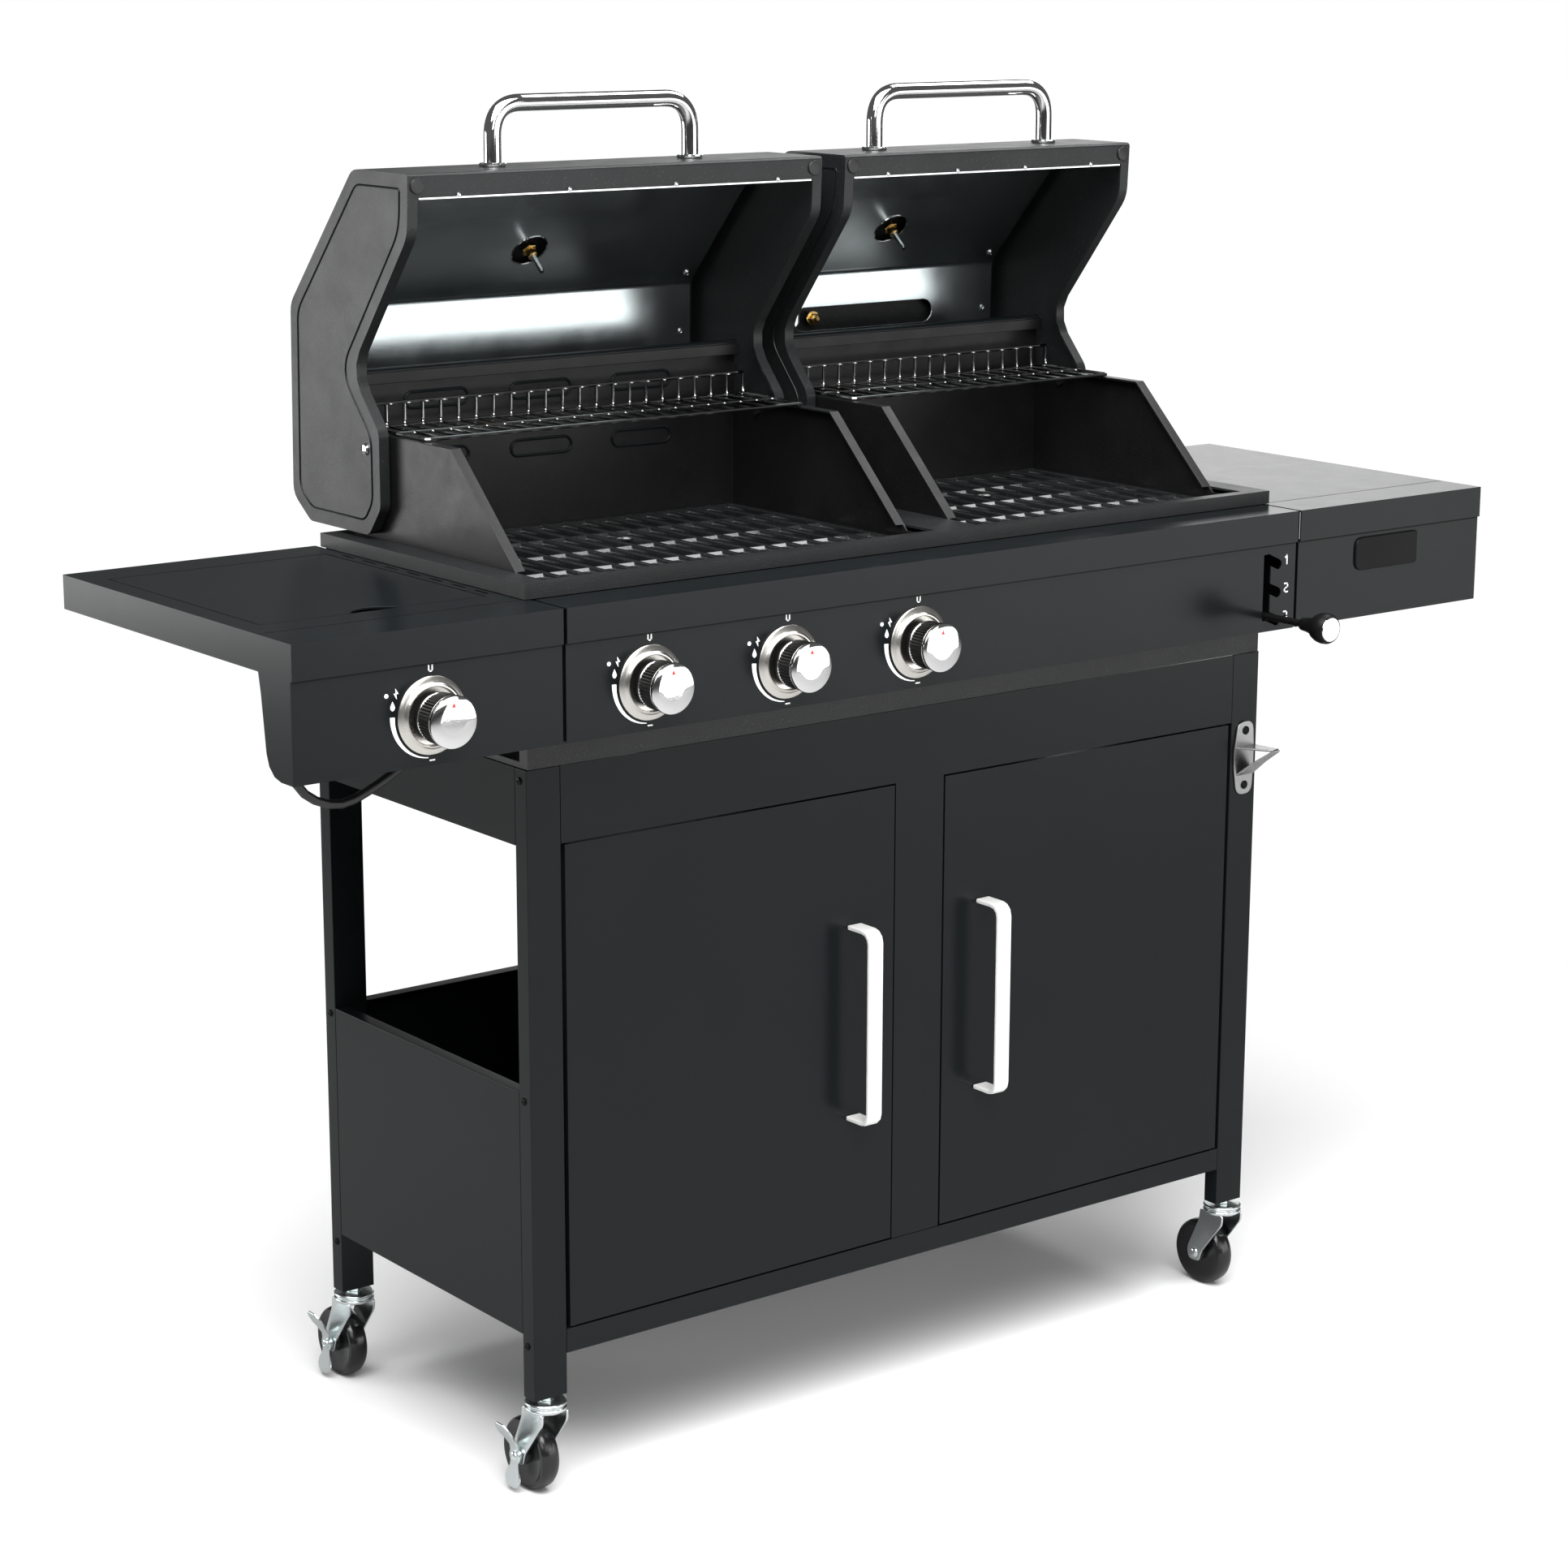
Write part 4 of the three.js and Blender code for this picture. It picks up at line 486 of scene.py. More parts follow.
def firebox_details():
    """Pressed slots in the gas box's back wall, and the rolled bar on top of each back wall."""
    beads = [obround(x, z, 78, 17, WALL_Y - 0.3) for x in WALL_SLOTS_X for z in WALL_SLOTS_Z]
    piece("wall_slots_gas", joined(*beads), "cabinet", POWDER)
    for fuel in ("gas", "charcoal"):
        low, high = corners(f"firebox_{fuel}")
        y = at(0, 156, 0)[1]
        z = high[2] + 0.0005
        bar = tube([(low[0] + 0.002, y, z), (high[0] - 0.002, y, z)], 0.0042, 12)
        piece(f"wall_top_{fuel}", bar, "cabinet", POWDER)


firebox_details()


# ---------------------------------------------------------------- lids
HINGE_Y, HINGE_Z = 112, 1051.5
LID_X = {"gas": (-487, 36), "charcoal": (68, 487)}


def lid_details(fuel):
    """Handle, probe and dial, bumpers, a white strip of painted highlight on the liner's edge, the
    liner's screws, and the hinge bolts.
    """
    body = f"lid_{fuel}"
    x0, x1 = LID_X[fuel]
    middle = (x0 + x1) / 2

    low, high = corners(f"lid_handle_{fuel}")
    y = (low[1] + high[1]) / 2
    z = low[2]
    top = high[2] - 0.009
    left, right = middle / 1000 - 0.125, middle / 1000 + 0.125
    line = bend([(left, y, z + 0.001), (left, y, top), (right, y, top), (right, y, z + 0.001)],
                0.034, 12)
    washers = [turned([(0.0135, 0), (0.0140, 0.0008), (0.0140, 0.0024), (0.0128, 0.0034),
                       (0.0100, 0.0036)], (x, y, z), sides=32) for x in (left, right)]
    piece(f"lid_handle_{fuel}_tube", joined(tube(line, 0.009, 24), *washers), body, CHROME,
          f"lid_handle_{fuel}")

    # the probe: a steel stem through a brass nut, and the dial outside
    upper = at(middle, HINGE_Y + 14, HINGE_Z + 284)
    lower = at(middle, HINGE_Y + 146, HINGE_Z + 138)
    along = (lower - upper) / np.linalg.norm(lower - upper)
    out = np.array([0, -along[2], along[1]])
    spot = upper + along * 0.122
    stem = turned([(0.0022, -0.046), (0.0030, -0.044), (0.0030, 0.002)], spot, out, 16)
    piece(f"probe_{fuel}", stem, body, CHROME, f"thermometer_{fuel}")
    nut = turned([(0.0080, -0.0150), (0.0088, -0.0142), (0.0088, -0.0090), (0.0080, -0.0082)],
                 spot, out, 6)
    collar = turned([(0.0050, -0.0230), (0.0055, -0.0225), (0.0055, -0.0150)], spot, out, 16)
    piece(f"probe_nut_{fuel}", joined(nut, collar), body, BRASS)
    bezel = turned([(0.027, 0.0005), (0.029, 0.002), (0.029, 0.0105), (0.0275, 0.0122),
                    (0.0250, 0.0122), (0.0246, 0.0095)], spot, out, 48)
    piece(f"dial_rim_{fuel}", bezel, body, CHROME)
    face = turned([(0.0244, 0.0090), (0.0244, 0.0098)], spot, out, 48)
    piece(f"dial_face_{fuel}", face, body, WHITE)
    _, u, v = basis(out)
    marks = []
    for i in range(11):
        a = math.radians(225 - 27 * i)
        way = math.cos(a) * u + math.sin(a) * v
        start = spot + out * 0.0100 + way * 0.0175
        marks.append(tube([start, start + way * 0.0045], 0.00045, 6))
    needle = math.cos(math.radians(200)) * u + math.sin(math.radians(200)) * v
    marks.append(tube([spot + out * 0.0101, spot + out * 0.0101 + needle * 0.016],
                      [0.0012, 0.0004], 6))
    piece(f"dial_marks_{fuel}", joined(*marks), body, BLACK)

    # bumpers on the front edge
    front = HINGE_Y - 92
    bumpers = [turned([(0.0078, 0), (0.0080, 0.0006), (0.0076, 0.0014), (0.0060, 0.0018)],
                      at(x, front, HINGE_Z + 272), (0, -1, 0), 24)
               for x in (x0 + 11, x1 - 11)]
    piece(f"bumpers_{fuel}", joined(*bumpers), body, RUBBER)

    # painted highlight: a thin white strip for the light caught by the liner's edge behind the front
    # strip, with its rivets
    edge = slab(at(x0 + 14, front + 1.2, HINGE_Z + 258.4),
                at(x1 - 14, front + 2.4, HINGE_Z + 260.2))
    piece(f"liner_edge_highlight_{fuel}", edge, body, WHITE)
    rivets = [turned([(0.0026, 0), (0.0024, 0.0009), (0.0012, 0.0014)],
                     at(x, front + 0.2, HINGE_Z + 262), (0, -1, 0), 12)
              for x in np.linspace(x0 + 60, x1 - 60, 4)]
    inward = -out
    for x in (x0 + 26, x1 - 26):
        for down in (0.020, 0.175):
            foot = upper + along * down + inward * 0.0137
            foot[0] = x / 1000
            rivets.append(screw(foot, inward, 0.0042, 0.0026))
        rivets.append(screw(at(x, HINGE_Y + 134.9, HINGE_Z + 78), (0, -1, 0), 0.0042, 0.0026))
    piece(f"liner_screws_{fuel}", joined(*rivets), body, ZINC)
    angle = np.linspace(0, 2 * np.pi, 37)
    ring = [spot + inward * 0.0137 + 0.0212 * (math.cos(a) * u + math.sin(a) * v) for a in angle]
    piece(f"probe_rim_{fuel}", tube(ring, 0.0009, 8), body, CHROME)

    # the bolt at the hinge, outside each end plate
    bolts = [turned([(0.0064, 0), (0.0064, 0.0010), (0.0046, 0.0030), (0.0020, 0.0036)],
                    at(x, HINGE_Y, HINGE_Z), (side, 0, 0), 20)
             for x, side in ((x0, -1), (x1, 1))]
    piece(f"hinge_bolts_{fuel}", joined(*bolts), body, CHROME)


def rounded_line(points, radii, steps=5):
    """A closed outline in two dimensions with each corner rounded by its own radius."""
    out = []
    count = len(points)
    for i in range(count):
        b = np.array(points[i], float)
        a = np.array(points[i - 1], float)
        c = np.array(points[(i + 1) % count], float)
        r = radii[i]
        if not r:
            out.append(b)
            continue
        reach = min(r, 0.45 * np.linalg.norm(a - b), 0.45 * np.linalg.norm(c - b))
        start = b + (a - b) / np.linalg.norm(a - b) * reach
        end = b + (c - b) / np.linalg.norm(c - b) * reach
        for t in np.linspace(0, 1, steps + 1):
            out.append((1 - t) ** 2 * start + 2 * t * (1 - t) * b + t ** 2 * end)
    return np.array(out)


PLATE_LINE = [(-92, 284), (14, 284), (146, 138), (151, -64), (116, -89), (-2, -89), (-26, -59),
              (-26, 20), (26, 78), (-89, 222)]
PLATE_RADII = [4, 14, 18, 18, 14, 14, 16, 20, 34, 36]


def inset(outline, distance):
    """A closed outline moved inwards, with mitred corners, for a clockwise outline in (y, z)."""
    p = np.array(outline, float)
    nxt = np.roll(p, -1, axis=0) - p
    nxt /= np.linalg.norm(nxt, axis=1, keepdims=True)
    normal = np.stack([nxt[:, 1], -nxt[:, 0]], 1)
    prev = np.roll(normal, 1, axis=0)
    mitre = prev + normal
    mitre /= np.linalg.norm(mitre, axis=1, keepdims=True)
    return p + mitre * distance / np.sum(mitre * normal, axis=1, keepdims=True)


def plate_groove(fuel):
    """A pressed bead a little inside the outline of each end plate, on its outer face."""
    inner = inset(PLATE_LINE, 15)
    line = rounded_line(inner, [max(4, r - 6) for r in PLATE_RADII], 6)
    line = np.vstack([line, line[:2]])
    shells = []
    for x in LID_X[fuel]:
        path = [at(x, HINGE_Y + y, HINGE_Z + z) for y, z in line]
        shells.append(tube(path, 0.0011, 8))
    piece(f"plate_groove_{fuel}", joined(*shells), f"lid_{fuel}", POWDER)


for fuel_name in ("gas", "charcoal"):
    lid_details(fuel_name)
    plate_groove(fuel_name)
DAMPER_PLACE = (203, 249, 1132)
DAMPER_NUT = [  # profile and number of sides of the washer, the nut and the bolt's end
    ([(0.0085, 0), (0.0085, 0.0012), (0.0060, 0.0016)], 24),
    ([(0.0062, 0.0010), (0.0062, 0.0060), (0.0050, 0.0066)], 6),
    ([(0.0026, 0.0060), (0.0026, 0.0100), (0.0020, 0.0106)], 16)]
piece("damper_nut", joined(*(turned(profile, at(*DAMPER_PLACE), (0, -1, 0), sides)
                             for profile, sides in DAMPER_NUT)),
      "lid_charcoal", BRASS)


# ---------------------------------------------------------------- controls
def flat_shape(outline, x, z, y, height=0.35):
    """A thin raised mark on a face that looks to the front, from an outline in (x, z)
    millimetres."""
    points = [((z + pz) / 1000, (x + px) / 1000) for px, pz in outline]
    face = y / 1000 + SHIFT
    return plate(points, face - height / 1000, face + 0.0003, "y")


def arc_wedge(radius, start, end, thin, thick, steps=24):
    """A curved wedge between two angles whose width grows from thin to thick."""
    a = np.radians(np.linspace(start, end, steps))
    w = np.linspace(thin, thick, steps)
    outer = np.stack([(radius + w) * np.cos(a), (radius + w) * np.sin(a)], 1)
    inner = np.stack([radius * np.cos(a), radius * np.sin(a)], 1)[::-1]
    return np.vstack([outer, inner])


def stroke(points, width):
    """A line of points in two dimensions as short bars of one width, each a closed outline."""
    out = []
    for a, b in zip(points, points[1:]):
        a, b = np.array(a, float), np.array(b, float)
        t = (b - a) / np.linalg.norm(b - a)
        n = np.array([-t[1], t[0]]) * width / 2
        a, b = a - t * width / 2, b + t * width / 2
        out.append([a - n, b - n, b + n, a + n])
    return out


DIGITS = {
    "0": [(0, 0), (3, 0), (3, 6), (0, 6), (0, 0)],
    "1": [(0, 4.6), (1.5, 6), (1.5, 0)],
    "2": [(0, 6), (3, 6), (3, 3), (0, 3), (0, 0), (3, 0)],
    "3": [(0, 6), (3, 6), (3, 3), (0.8, 3), (3, 3), (3, 0), (0, 0)],
}


def digit(text, x, z, size=1.0, width=0.9):
    """A numeral drawn with straight bars."""
    points = [(px * size, pz * size) for px, pz in DIGITS[text]]
    return [flat_shape(bar, x, z, FASCIA_Y) for bar in stroke(points, width)]


KNOB_FACE = 0.0400  # the cap's face before the fascia, in metres


def control(key, x):
    """Bezel, knob and marks of one control."""
    centre = at(x, FASCIA_Y, KNOB_Z)
    bezel = turned([
        (0.0370, 0.0000), (0.0376, 0.0006), (0.0376, 0.0016), (0.0366, 0.0026), (0.0330, 0.0036),
        (0.0318, 0.0042), (0.0306, 0.0060), (0.0300, 0.0066), (0.0288, 0.0068), (0.0280, 0.0060),
        (0.0276, 0.0024), (0.0130, 0.0018)], centre, (0, -1, 0), 64)
    piece(f"bezel_{key}", bezel, "cabinet", SATIN_CHROME)
    skirt = turned([
        (0.0200, 0.0080), (0.0226, 0.0086), (0.0230, 0.0100), (0.0230, 0.0140), (0.0236, 0.0150),
        (0.0247, 0.0160), (0.0247, 0.0345), (0.0236, 0.0352), (0.0120, 0.0354)],
        centre, (0, -1, 0), 192, 48, 0.0008, (3, 4, 5, 6))
    piece(f"knob_{key}_skirt", skirt, f"knob_{key}", BLACK, f"knob_{key}")
    ring = turned([(0.0240, 0.0140), (0.0246, 0.0145), (0.0246, 0.0158), (0.0240, 0.0163)],
                  centre, (0, -1, 0), 64)
    cap = turned([(0.0238, 0.0350), (0.0252, 0.0354), (0.0255, 0.0364), (0.0255, 0.0382),
                  (0.0251, 0.0392), (0.0240, 0.0398), (0.0120, KNOB_FACE), (0.0002, KNOB_FACE)],
                 centre, (0, -1, 0), 64)
    piece(f"knob_{key}_cap", joined(cap, ring), f"knob_{key}", CHROME)
    triangle = [(-2.2, 14.0), (2.2, 14.0), (0, 18.4)]
    points = [((KNOB_Z + pz) / 1000, (x + px) / 1000) for px, pz in triangle]
    face = centre[1] - KNOB_FACE
    piece(f"knob_{key}_pointer", plate(points, face - 0.0002, face + 0.0004, "y"),
          f"knob_{key}", RED)
    marks = digit("0", x - 2, KNOB_Z + 42, 1.3, 1.4)
    marks.append(flat_shape(arc_wedge(40.0, 176, 264, 5.2, 0.8), x, KNOB_Z, FASCIA_Y))
    drop = [(-2.6, 0), (-1.6, -2.2), (0, -3.0), (1.6, -2.2), (2.6, 0), (1.8, 2.4), (0, 6.2),
            (-1.8, 2.4)]
    marks.append(flat_shape(drop, x - 42, KNOB_Z + 12, FASCIA_Y))
    bolt = [(0.6, -5.2), (-2.6, 0.4), (-0.4, 0.4), (-0.6, 5.2), (2.8, -0.2), (0.4, -0.2)]
    marks.append(flat_shape(bolt[::-1], x - 38, KNOB_Z + 25, FASCIA_Y))
    dot = [(2.2 * math.cos(a), 2.2 * math.sin(a)) for a in np.linspace(0, 2 * np.pi, 12, False)]
    marks.append(flat_shape(dot, x - 48.5, KNOB_Z + 24, FASCIA_Y))
    marks.append(flat_shape([(-3, -0.7), (3, -0.7), (3, 0.7), (-3, 0.7)], x, KNOB_Z - 43, FASCIA_Y))
    piece(f"marks_{key}", joined(*marks), "cabinet", WHITE)


for key_name, knob_x in KNOBS.items():
    control(key_name, knob_x)


LEVER_X, LEVER_Z = 450, 827.5  # the rod at its lowest place


def lever():
    """The rod, the cone that flares into a ball, the bright end disc, and the slot's numbers."""
    low, high = corners("tray_lever")
    x, z = LEVER_X, LEVER_Z
    y = (low[1] - SHIFT) * 1000
    back = (high[1] - SHIFT) * 1000
    rod = tube([at(x, back, z), at(x, y + 40, z)], 0.004, 20)
    grip = turned([(0.0060, 0.000), (0.0072, 0.002), (0.0080, 0.010), (0.0098, 0.018),
                   (0.0140, 0.0235), (0.0163, 0.0290), (0.0172, 0.0345), (0.0168, 0.0400),
                   (0.0150, 0.0435), (0.0120, 0.0440)], at(x, y + 45, z), (0, -1, 0), 48)
    arm = slab((low[0], *at(0, -216, z - 5)[1:]), at(x + 5, -198, z + 7))
    piece("lever_grip", joined(rod, grip, arm), "lever", BLACK, "tray_lever")
    disc = turned([(0.0132, 0.0430), (0.0136, 0.0440), (0.0128, 0.0448), (0.0040, 0.0450)],
                  at(x, y + 45, z), (0, -1, 0), 48)
    piece("lever_disc", disc, "lever", CHROME)
    numbers = []
    for level, text in enumerate("321"):
        numbers += digit(text, 478, 820 + 32 * level, 1.6, 1.5)
    piece("level_numbers", joined(*numbers), "cabinet", WHITE)
    shroud = joined(slab(at(478, -257, 812), at(480, -203, 905)),
                    slab(at(430, -256, 906), at(484, -203, 908)))
    piece("lever_shroud", shroud, "cabinet", BLACK)


lever()


# ---------------------------------------------------------------- casters
def caster(end, sx, sy):
    """Wheel with a crowned tread and hub, fork with two races and a nut, and the axle's rivets."""
    x, y = sx * LEG_X, sy * CASTER_Y
    hub = at(x, y + TRAIL, AXLE_Z)
    wheel = turned([
        (0.0045, -0.0125), (0.0100, -0.0125), (0.0108, -0.0118), (0.0112, -0.0095),
        (0.0300, -0.0095), (0.0330, -0.0108), (0.0360, -0.0104), (0.0382, -0.0075),
        (0.0390, -0.0030), (0.0390, 0.0030), (0.0382, 0.0075), (0.0360, 0.0104),
        (0.0330, 0.0108), (0.0300, 0.0095), (0.0112, 0.0095), (0.0108, 0.0118),
        (0.0100, 0.0125), (0.0045, 0.0125)], hub, (1, 0, 0), 56)
    piece(f"wheel_{end}_tread", wheel, f"wheel_{end}", WHEEL, f"caster_wheel_{end}")
    top = at(x, y, 111)
    races = turned([
        (0.0150, -0.0150), (0.0205, -0.0148), (0.0222, -0.0132), (0.0222, -0.0108),
        (0.0205, -0.0094), (0.0195, -0.0090), (0.0210, -0.0084), (0.0222, -0.0072),
        (0.0222, -0.0056), (0.0208, -0.0044), (0.0100, -0.0040)], top, (0, 0, 1), 40)
    nut = turned([(0.0078, -0.0040), (0.0086, -0.0034), (0.0086, 0.0002)], top, (0, 0, 1), 6)
    stem = turned([(0.0049, -0.0020), (0.0049, 0.0290)], top, (0, 0, 1), 16)
    shells = [races, nut, stem]
    ay, az = y + TRAIL, AXLE_Z
    outline = rounded_line([
        (y - 17, 97), (y - 17, 86), (ay - 12, az + 4), (ay - 9, az - 9), (ay + 9, az - 9),
        (ay + 12, az + 4), (y + 21, 84), (y + 20, 97)], [3, 10, 12, 9, 9, 12, 10, 3], 6)
    points = [at(0, py, pz)[1:] for py, pz in outline]
    for side in (-1, 1):
        near, far = (x + side * 14.2) / 1000, (x + side * 16.6) / 1000
        shells.append(plate(points, min(near, far), max(near, far), "x"))
        rivet = turned([(0.0062, 0), (0.0062, 0.0012), (0.0046, 0.0026), (0.0020, 0.0030)],
                       at(x + side * 16.4, ay, az), (side, 0, 0), 20)
        shells.append(rivet)
    shells.append(turned([(0.0040, -0.0150), (0.0040, 0.0150)], hub, (1, 0, 0), 16))
    piece(f"fork_{end}_pressed", joined(*shells), f"caster_{end}", ZINC,
          f"caster_fork_{end}", rounding=0.0005, segments=2)


def tongue(y, line):
    """A thin pressed tongue along a line of [x, z, half width]: a flat section 2.2 mm thick, square
    to the line, turned over where the line runs the other way so that its faces point out."""
    line = np.array(line, float)
    way = np.gradient(line[:, :2], axis=0)
    way /= np.linalg.norm(way, axis=1, keepdims=True)
    rings = []
    for (x, z, half), (dx, dz) in zip(line, way):
        across = np.array([-dz, dx]) * 1.1
        rings.append([at(x + sign * across[0], y + end, z + sign * across[1])
                      for sign, end in ((1, -half), (1, half), (-1, half), (-1, -half))])
    points, faces = loft(rings)
    tip = np.array(rings[0])
    normal = np.cross(tip[1] - tip[0], tip[2] - tip[1])
    if np.dot(normal, tip.mean(axis=0) - points.mean(axis=0)) < 0:
        return points, faces
    return points, [face[::-1] for face in faces]


def pedal(end, sy):
    """A two-armed brake pedal: a round eye at the axle, an upper tongue that leans out and a lower
    one that hangs beside the wheel."""
    face = corners(f"brake_pedal_{end}")[1][0] * 1000 - 1.2
    ay, az = sy * CASTER_Y + TRAIL, AXLE_Z
    upper = tongue(ay, [(face, az + 2, 7), (face - 1, az + 12, 7.5), (face - 5, az + 19, 10),
                        (face - 10, az + 26, 12.5), (face - 14, az + 33, 13),
                        (face - 17, az + 38, 10.5), (face - 18.5, az + 41, 6)])
    lower = tongue(ay, [(face, az - 2, 7), (face - 0.5, az - 11, 8), (face - 2, az - 18, 11.5),
                        (face - 3, az - 25, 13), (face - 4, az - 30, 10.5),
                        (face - 4.4, az - 33, 6)])
    eye = turned([(0.0090, -0.0014), (0.0094, 0.0000), (0.0086, 0.0016)], at(face, ay, az),
                 (-1, 0, 0), 28)
    head = screw(at(face - 1.5, ay, az), (-1, 0, 0), 0.0056, 0.0028)
    piece(f"pedal_{end}_pressed", joined(upper, lower, eye, head), f"pedal_{end}", ZINC,
          f"brake_pedal_{end}", rounding=0.0006)


for end_name, sign_x, sign_y in (("front_left", -1, -1), ("rear_left", -1, 1),
                                 ("front_right", 1, -1), ("rear_right", 1, 1)):
    caster(end_name, sign_x, sign_y)
    if sign_x < 0:
        pedal(end_name, sign_y)


# ---------------------------------------------------------------- small fixed pieces
def cabinet_details():
    """Screws on the legs, the bottle opener, dark strips of painted shade between panels and the blank
    badge.
    """
    screws = []
    for sx in (-1, 1):
        for y in (-188, 190):
            for z in (168, 430, 760):
                screws.append(screw(at(sx * LEG_FACE_X, y, z), (sx, 0, 0)))
    piece("leg_screws", joined(*screws), "cabinet", BLACK)

    # bottle opener on the front right leg: a plate with two screws and a pointed hoop
    back = plate([(at(0, 0, z)[2], x / 1000) for x, z in rounded_line(
        [(471, 607), (495, 607), (497, 640), (497, 662), (495, 693), (471, 693), (466, 662),
         (466, 640)], [11, 11, 6, 6, 11, 11, 6, 6])],
        at(0, LEG_FRONT_Y - 0.2, 0)[1], at(0, LEG_FRONT_Y + 1.9, 0)[1], "y")
    shelf = plate([at(x, y, 0)[:2] for x, y in (
        (469, LEG_FRONT_Y), (498, LEG_FRONT_Y), (503, -236), (491, -239))],
        at(0, 0, 661.6)[2], at(0, 0, 664)[2], "z")
    brace = loft([[at(x1, y, z), at(x1, y, z - 2.4), at(x0, y, z - 2.4), at(x0, y, z)]
                  for x0, x1, y, z in ((491, 503, -238, 663), (479, 500, -219, 648),
                                       (470, 497, LEG_FRONT_Y, 632))])
    heads = [screw(at(483, LEG_FRONT_Y - 0.1, z), (0, -1, 0), 0.0050) for z in (682, 618)]
    piece("bottle_opener", joined(back, shelf, brace), "cabinet", STEEL,
          rounding=0.0005)
    piece("opener_screws", joined(*heads), "cabinet", BLACK)

    # painted shade: dark strips under the lips, behind the panel's ends, and along the tables' front
    # strips, where shade falls in the gaps
    painted_shade_strips = [slab(at(a, -260.5, 905.6), at(b, -259.9, 907.3))
             for a, b in ((-794, -499), (-493, 493), (499, 794))]
    painted_shade_strips += [slab(at(side * 496 - 7, -256, 811), at(side * 496 + 7, -254.5, 940))
              for side in (-1, 1)]
    painted_shade_strips += [slab(at(a, -201.6, 942.3), at(b, -200.6, 942.62))
              for a, b in ((-794, -505), (505, 794))]
    piece("painted_shade_strips", joined(*painted_shade_strips), "cabinet", BLACK)

    badge = plate([(at(0, 0, z)[2], x / 1000) for x, z in rounded_line(
        [(589, 864), (690, 864), (690, 902), (589, 902)], [12, 4, 4, 12])],
        at(0, -262.6, 0)[1], at(0, -259.9, 0)[1], "y")
    piece("badge_plate", badge, "cabinet", BLACK, rounding=0.0010)


cabinet_details()


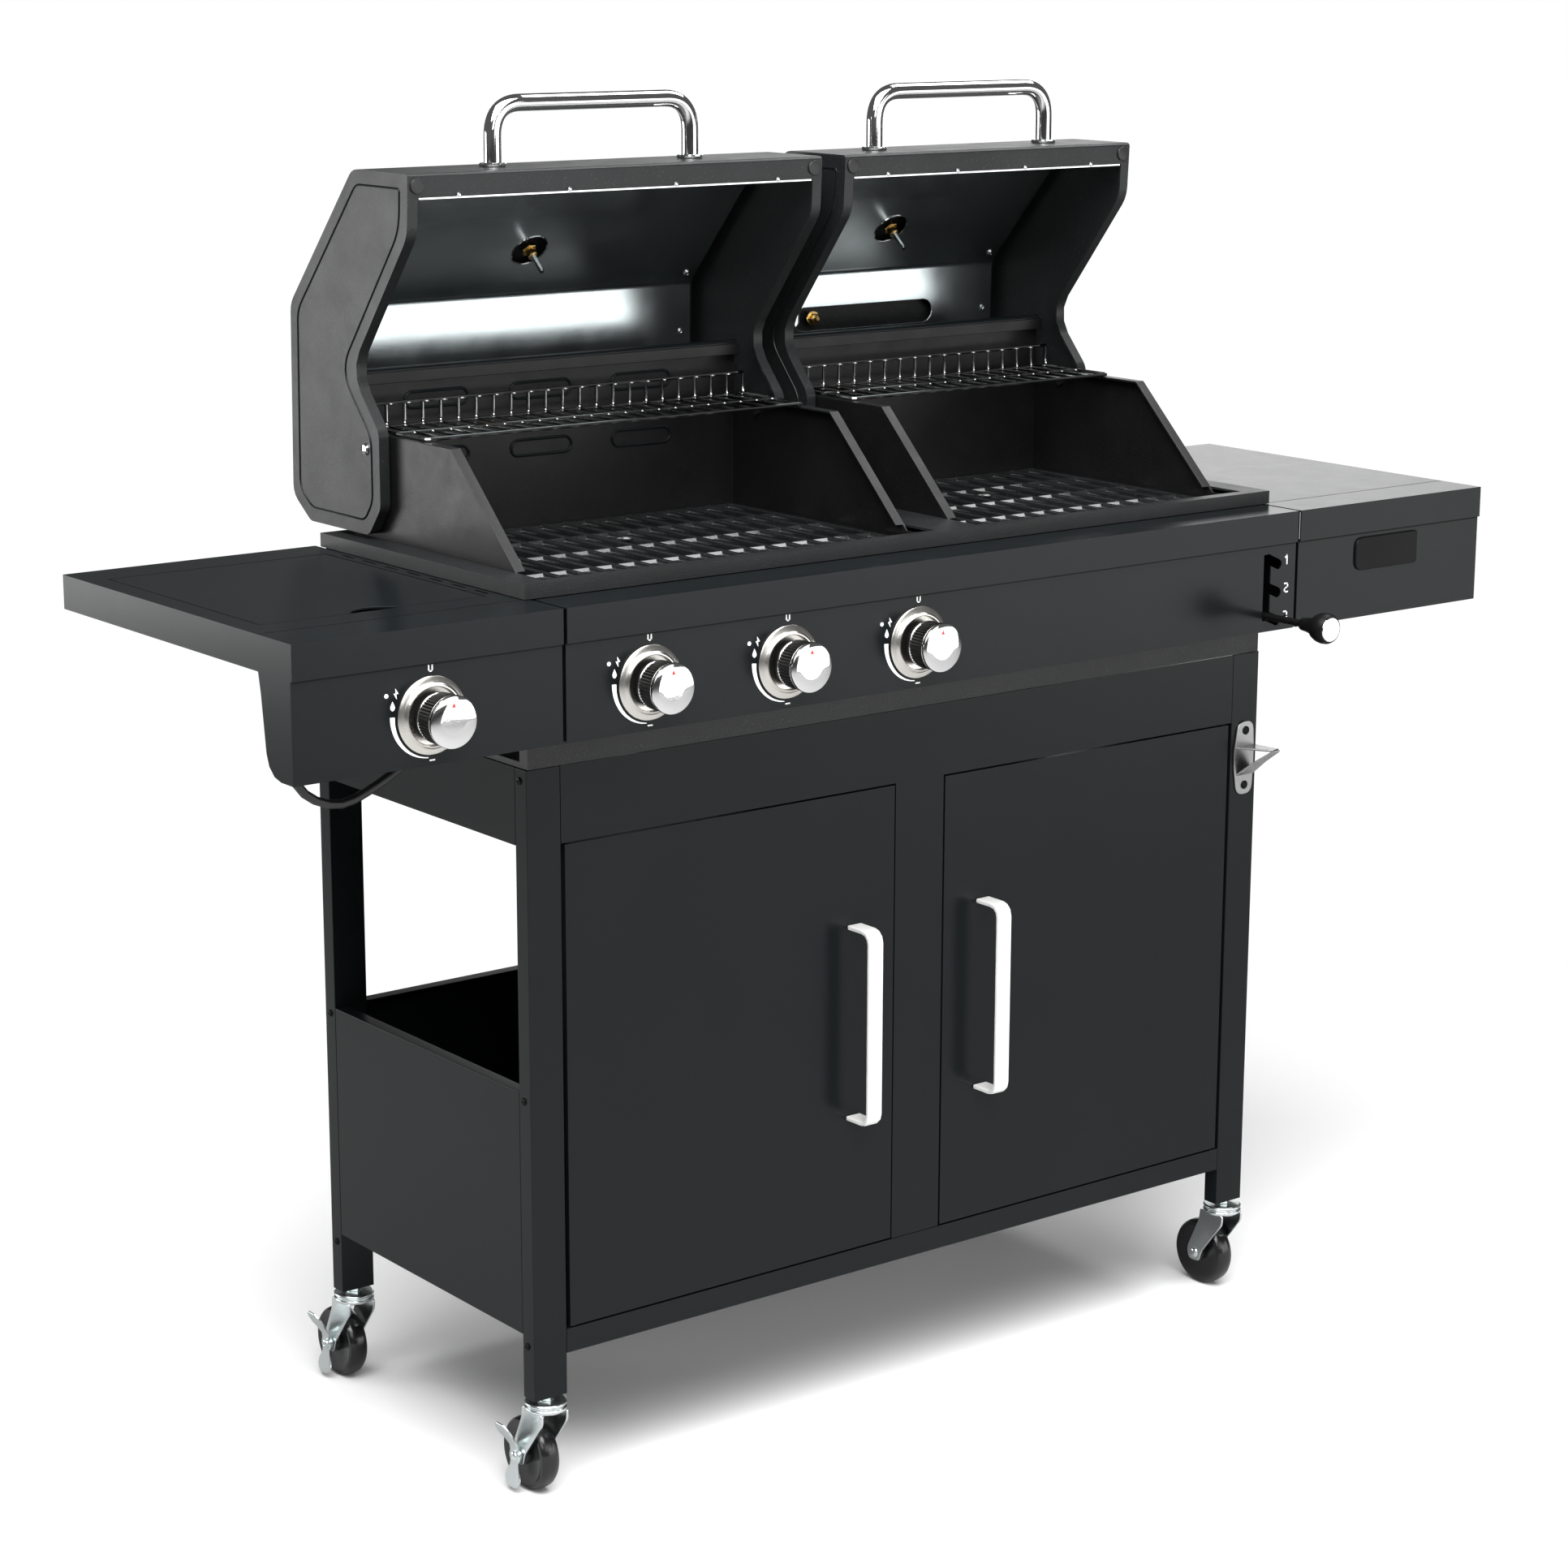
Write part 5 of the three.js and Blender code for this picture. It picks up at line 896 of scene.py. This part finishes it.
# ---------------------------------------------------------------- stage
def stage():
    """A white floor with soft shadows in a dim studio. For the camera, the floor far from the
    grill and the surroundings are plain white. The grill reflects the lamps, the dim walls and a
    darker floor."""
    bpy.ops.mesh.primitive_plane_add(size=60, location=(0, 0, 0))
    floor = bpy.context.object
    floor.name = "floor"
    material = bpy.data.materials.new("floor")
    material.use_nodes = True
    tree = material.node_tree
    shader = tree.nodes["Principled BSDF"]
    shader.inputs["Roughness"].default_value = 0.85
    shader.inputs["Specular IOR Level"].default_value = 0.1
    coords = tree.nodes.new("ShaderNodeTexCoord")
    length = tree.nodes.new("ShaderNodeVectorMath")
    length.operation = "LENGTH"
    link(tree, coords, "Object", length, 0)
    far = spread(tree, length, "Value", 1.0, 2.1, 0, 1)
    seen = tree.nodes.new("ShaderNodeLightPath")
    amount = tree.nodes.new("ShaderNodeMath")
    amount.operation = "MULTIPLY"
    link(tree, far, "Result", amount, 0)
    link(tree, seen, "Is Camera Ray", amount, 1)
    glow = tree.nodes.new("ShaderNodeEmission")
    glow.inputs["Strength"].default_value = 1.02
    dimmed = spread(tree, seen, "Is Glossy Ray", 0, 1, 0.93, 0.42)
    link(tree, dimmed, "Result", shader, "Base Color")
    mix = tree.nodes.new("ShaderNodeMixShader")
    link(tree, amount, "Value", mix, 0)
    link(tree, shader, "BSDF", mix, 1)
    link(tree, glow, "Emission", mix, 2)
    link(tree, mix, "Shader", tree.nodes["Material Output"], "Surface")
    floor.data.materials.append(material)

    world = bpy.data.worlds.new("studio")
    bpy.context.scene.world = world
    world.use_nodes = True
    tree = world.node_tree
    walls = tree.nodes["Background"]
    way = tree.nodes.new("ShaderNodeTexCoord")
    toward = tree.nodes.new("ShaderNodeVectorMath")
    toward.operation = "DOT_PRODUCT"
    panel_way = Vector((math.sin(math.radians(44)), math.cos(math.radians(44)), 0.16)).normalized()
    toward.inputs[1].default_value = panel_way
    link(tree, way, "Generated", toward, 0)
    lit = spread(tree, toward, "Value", 0.972, 0.9985, 0.10, 2.0)
    link(tree, lit, "Result", walls, "Color")
    white = tree.nodes.new("ShaderNodeBackground")
    seen = tree.nodes.new("ShaderNodeLightPath")
    mix = tree.nodes.new("ShaderNodeMixShader")
    link(tree, seen, "Is Camera Ray", mix, 0)
    link(tree, walls, "Background", mix, 1)
    link(tree, white, "Background", mix, 2)
    white.inputs["Color"].default_value = (1, 1, 1, 1)
    link(tree, mix, "Shader", tree.nodes["World Output"], "Surface")

    def lamp(name, where, aim, size, power):
        """A rectangular area lamp that looks at a point."""
        data = bpy.data.lights.new(name, "AREA")
        data.shape = "RECTANGLE"
        data.size, data.size_y = size
        data.energy = power
        thing = bpy.data.objects.new(name, data)
        bpy.context.scene.collection.objects.link(thing)
        thing.location = where
        thing.rotation_mode = "QUATERNION"
        thing.rotation_quaternion = (Vector(aim) - Vector(where)).to_track_quat("-Z", "Y")
        thing.visible_camera = False

    lamp("overhead", (-1.0, -1.2, 3.3), (0.1, 0.1, 0), (3.4, 3.0), 300)
    lamp("front right", (2.2, -2.9, 0.70), (0, 0.1, 0.9), (3.0, 1.3), 26)
    lamp("back left", (-2.4, 2.3, 0.95), (-0.5, 0, 1.1), (1.7, 1.1), 30)
    lamp("front left", (-2.2, -3.4, 2.4), (0, 0, 0.8), (1.4, 1.4), 16)
    lamp("front", (0.7, -4.4, 1.9), (0, 0, 1.0), (3.4, 1.5), 26)
    lamp("top right", (1.7, 0.1, 3.3), (-0.1, 0, 0.9), (1.4, 1.4), 34)
    bpy.context.scene.view_settings.view_transform = "Standard"


SENSOR_WIDTH = 36
FOCAL_RATIO = 4392.14 / 1932  # focal length over the frame's width


def camera():
    """The viewing angle: from the front left, a little above the table."""
    data = bpy.data.cameras.new("camera")
    thing = bpy.data.objects.new("camera", data)
    bpy.context.scene.collection.objects.link(thing)
    data.sensor_width = SENSOR_WIDTH
    data.lens = FOCAL_RATIO * SENSOR_WIDTH
    data.clip_end = 100
    thing.location = at(-2372.3, -3036.7, 1566.9)
    yaw, pitch, roll = (math.radians(a) for a in (-37.654, 13.394, 0.1655))
    forward = Vector((-math.sin(yaw) * math.cos(pitch), math.cos(yaw) * math.cos(pitch),
                      -math.sin(pitch)))
    thing.rotation_mode = "QUATERNION"
    turn = forward.to_track_quat("-Z", "Y")
    thing.rotation_quaternion = turn @ Matrix.Rotation(roll, 3, "Z").to_quaternion()
    bpy.context.scene.camera = thing


stage()
camera()
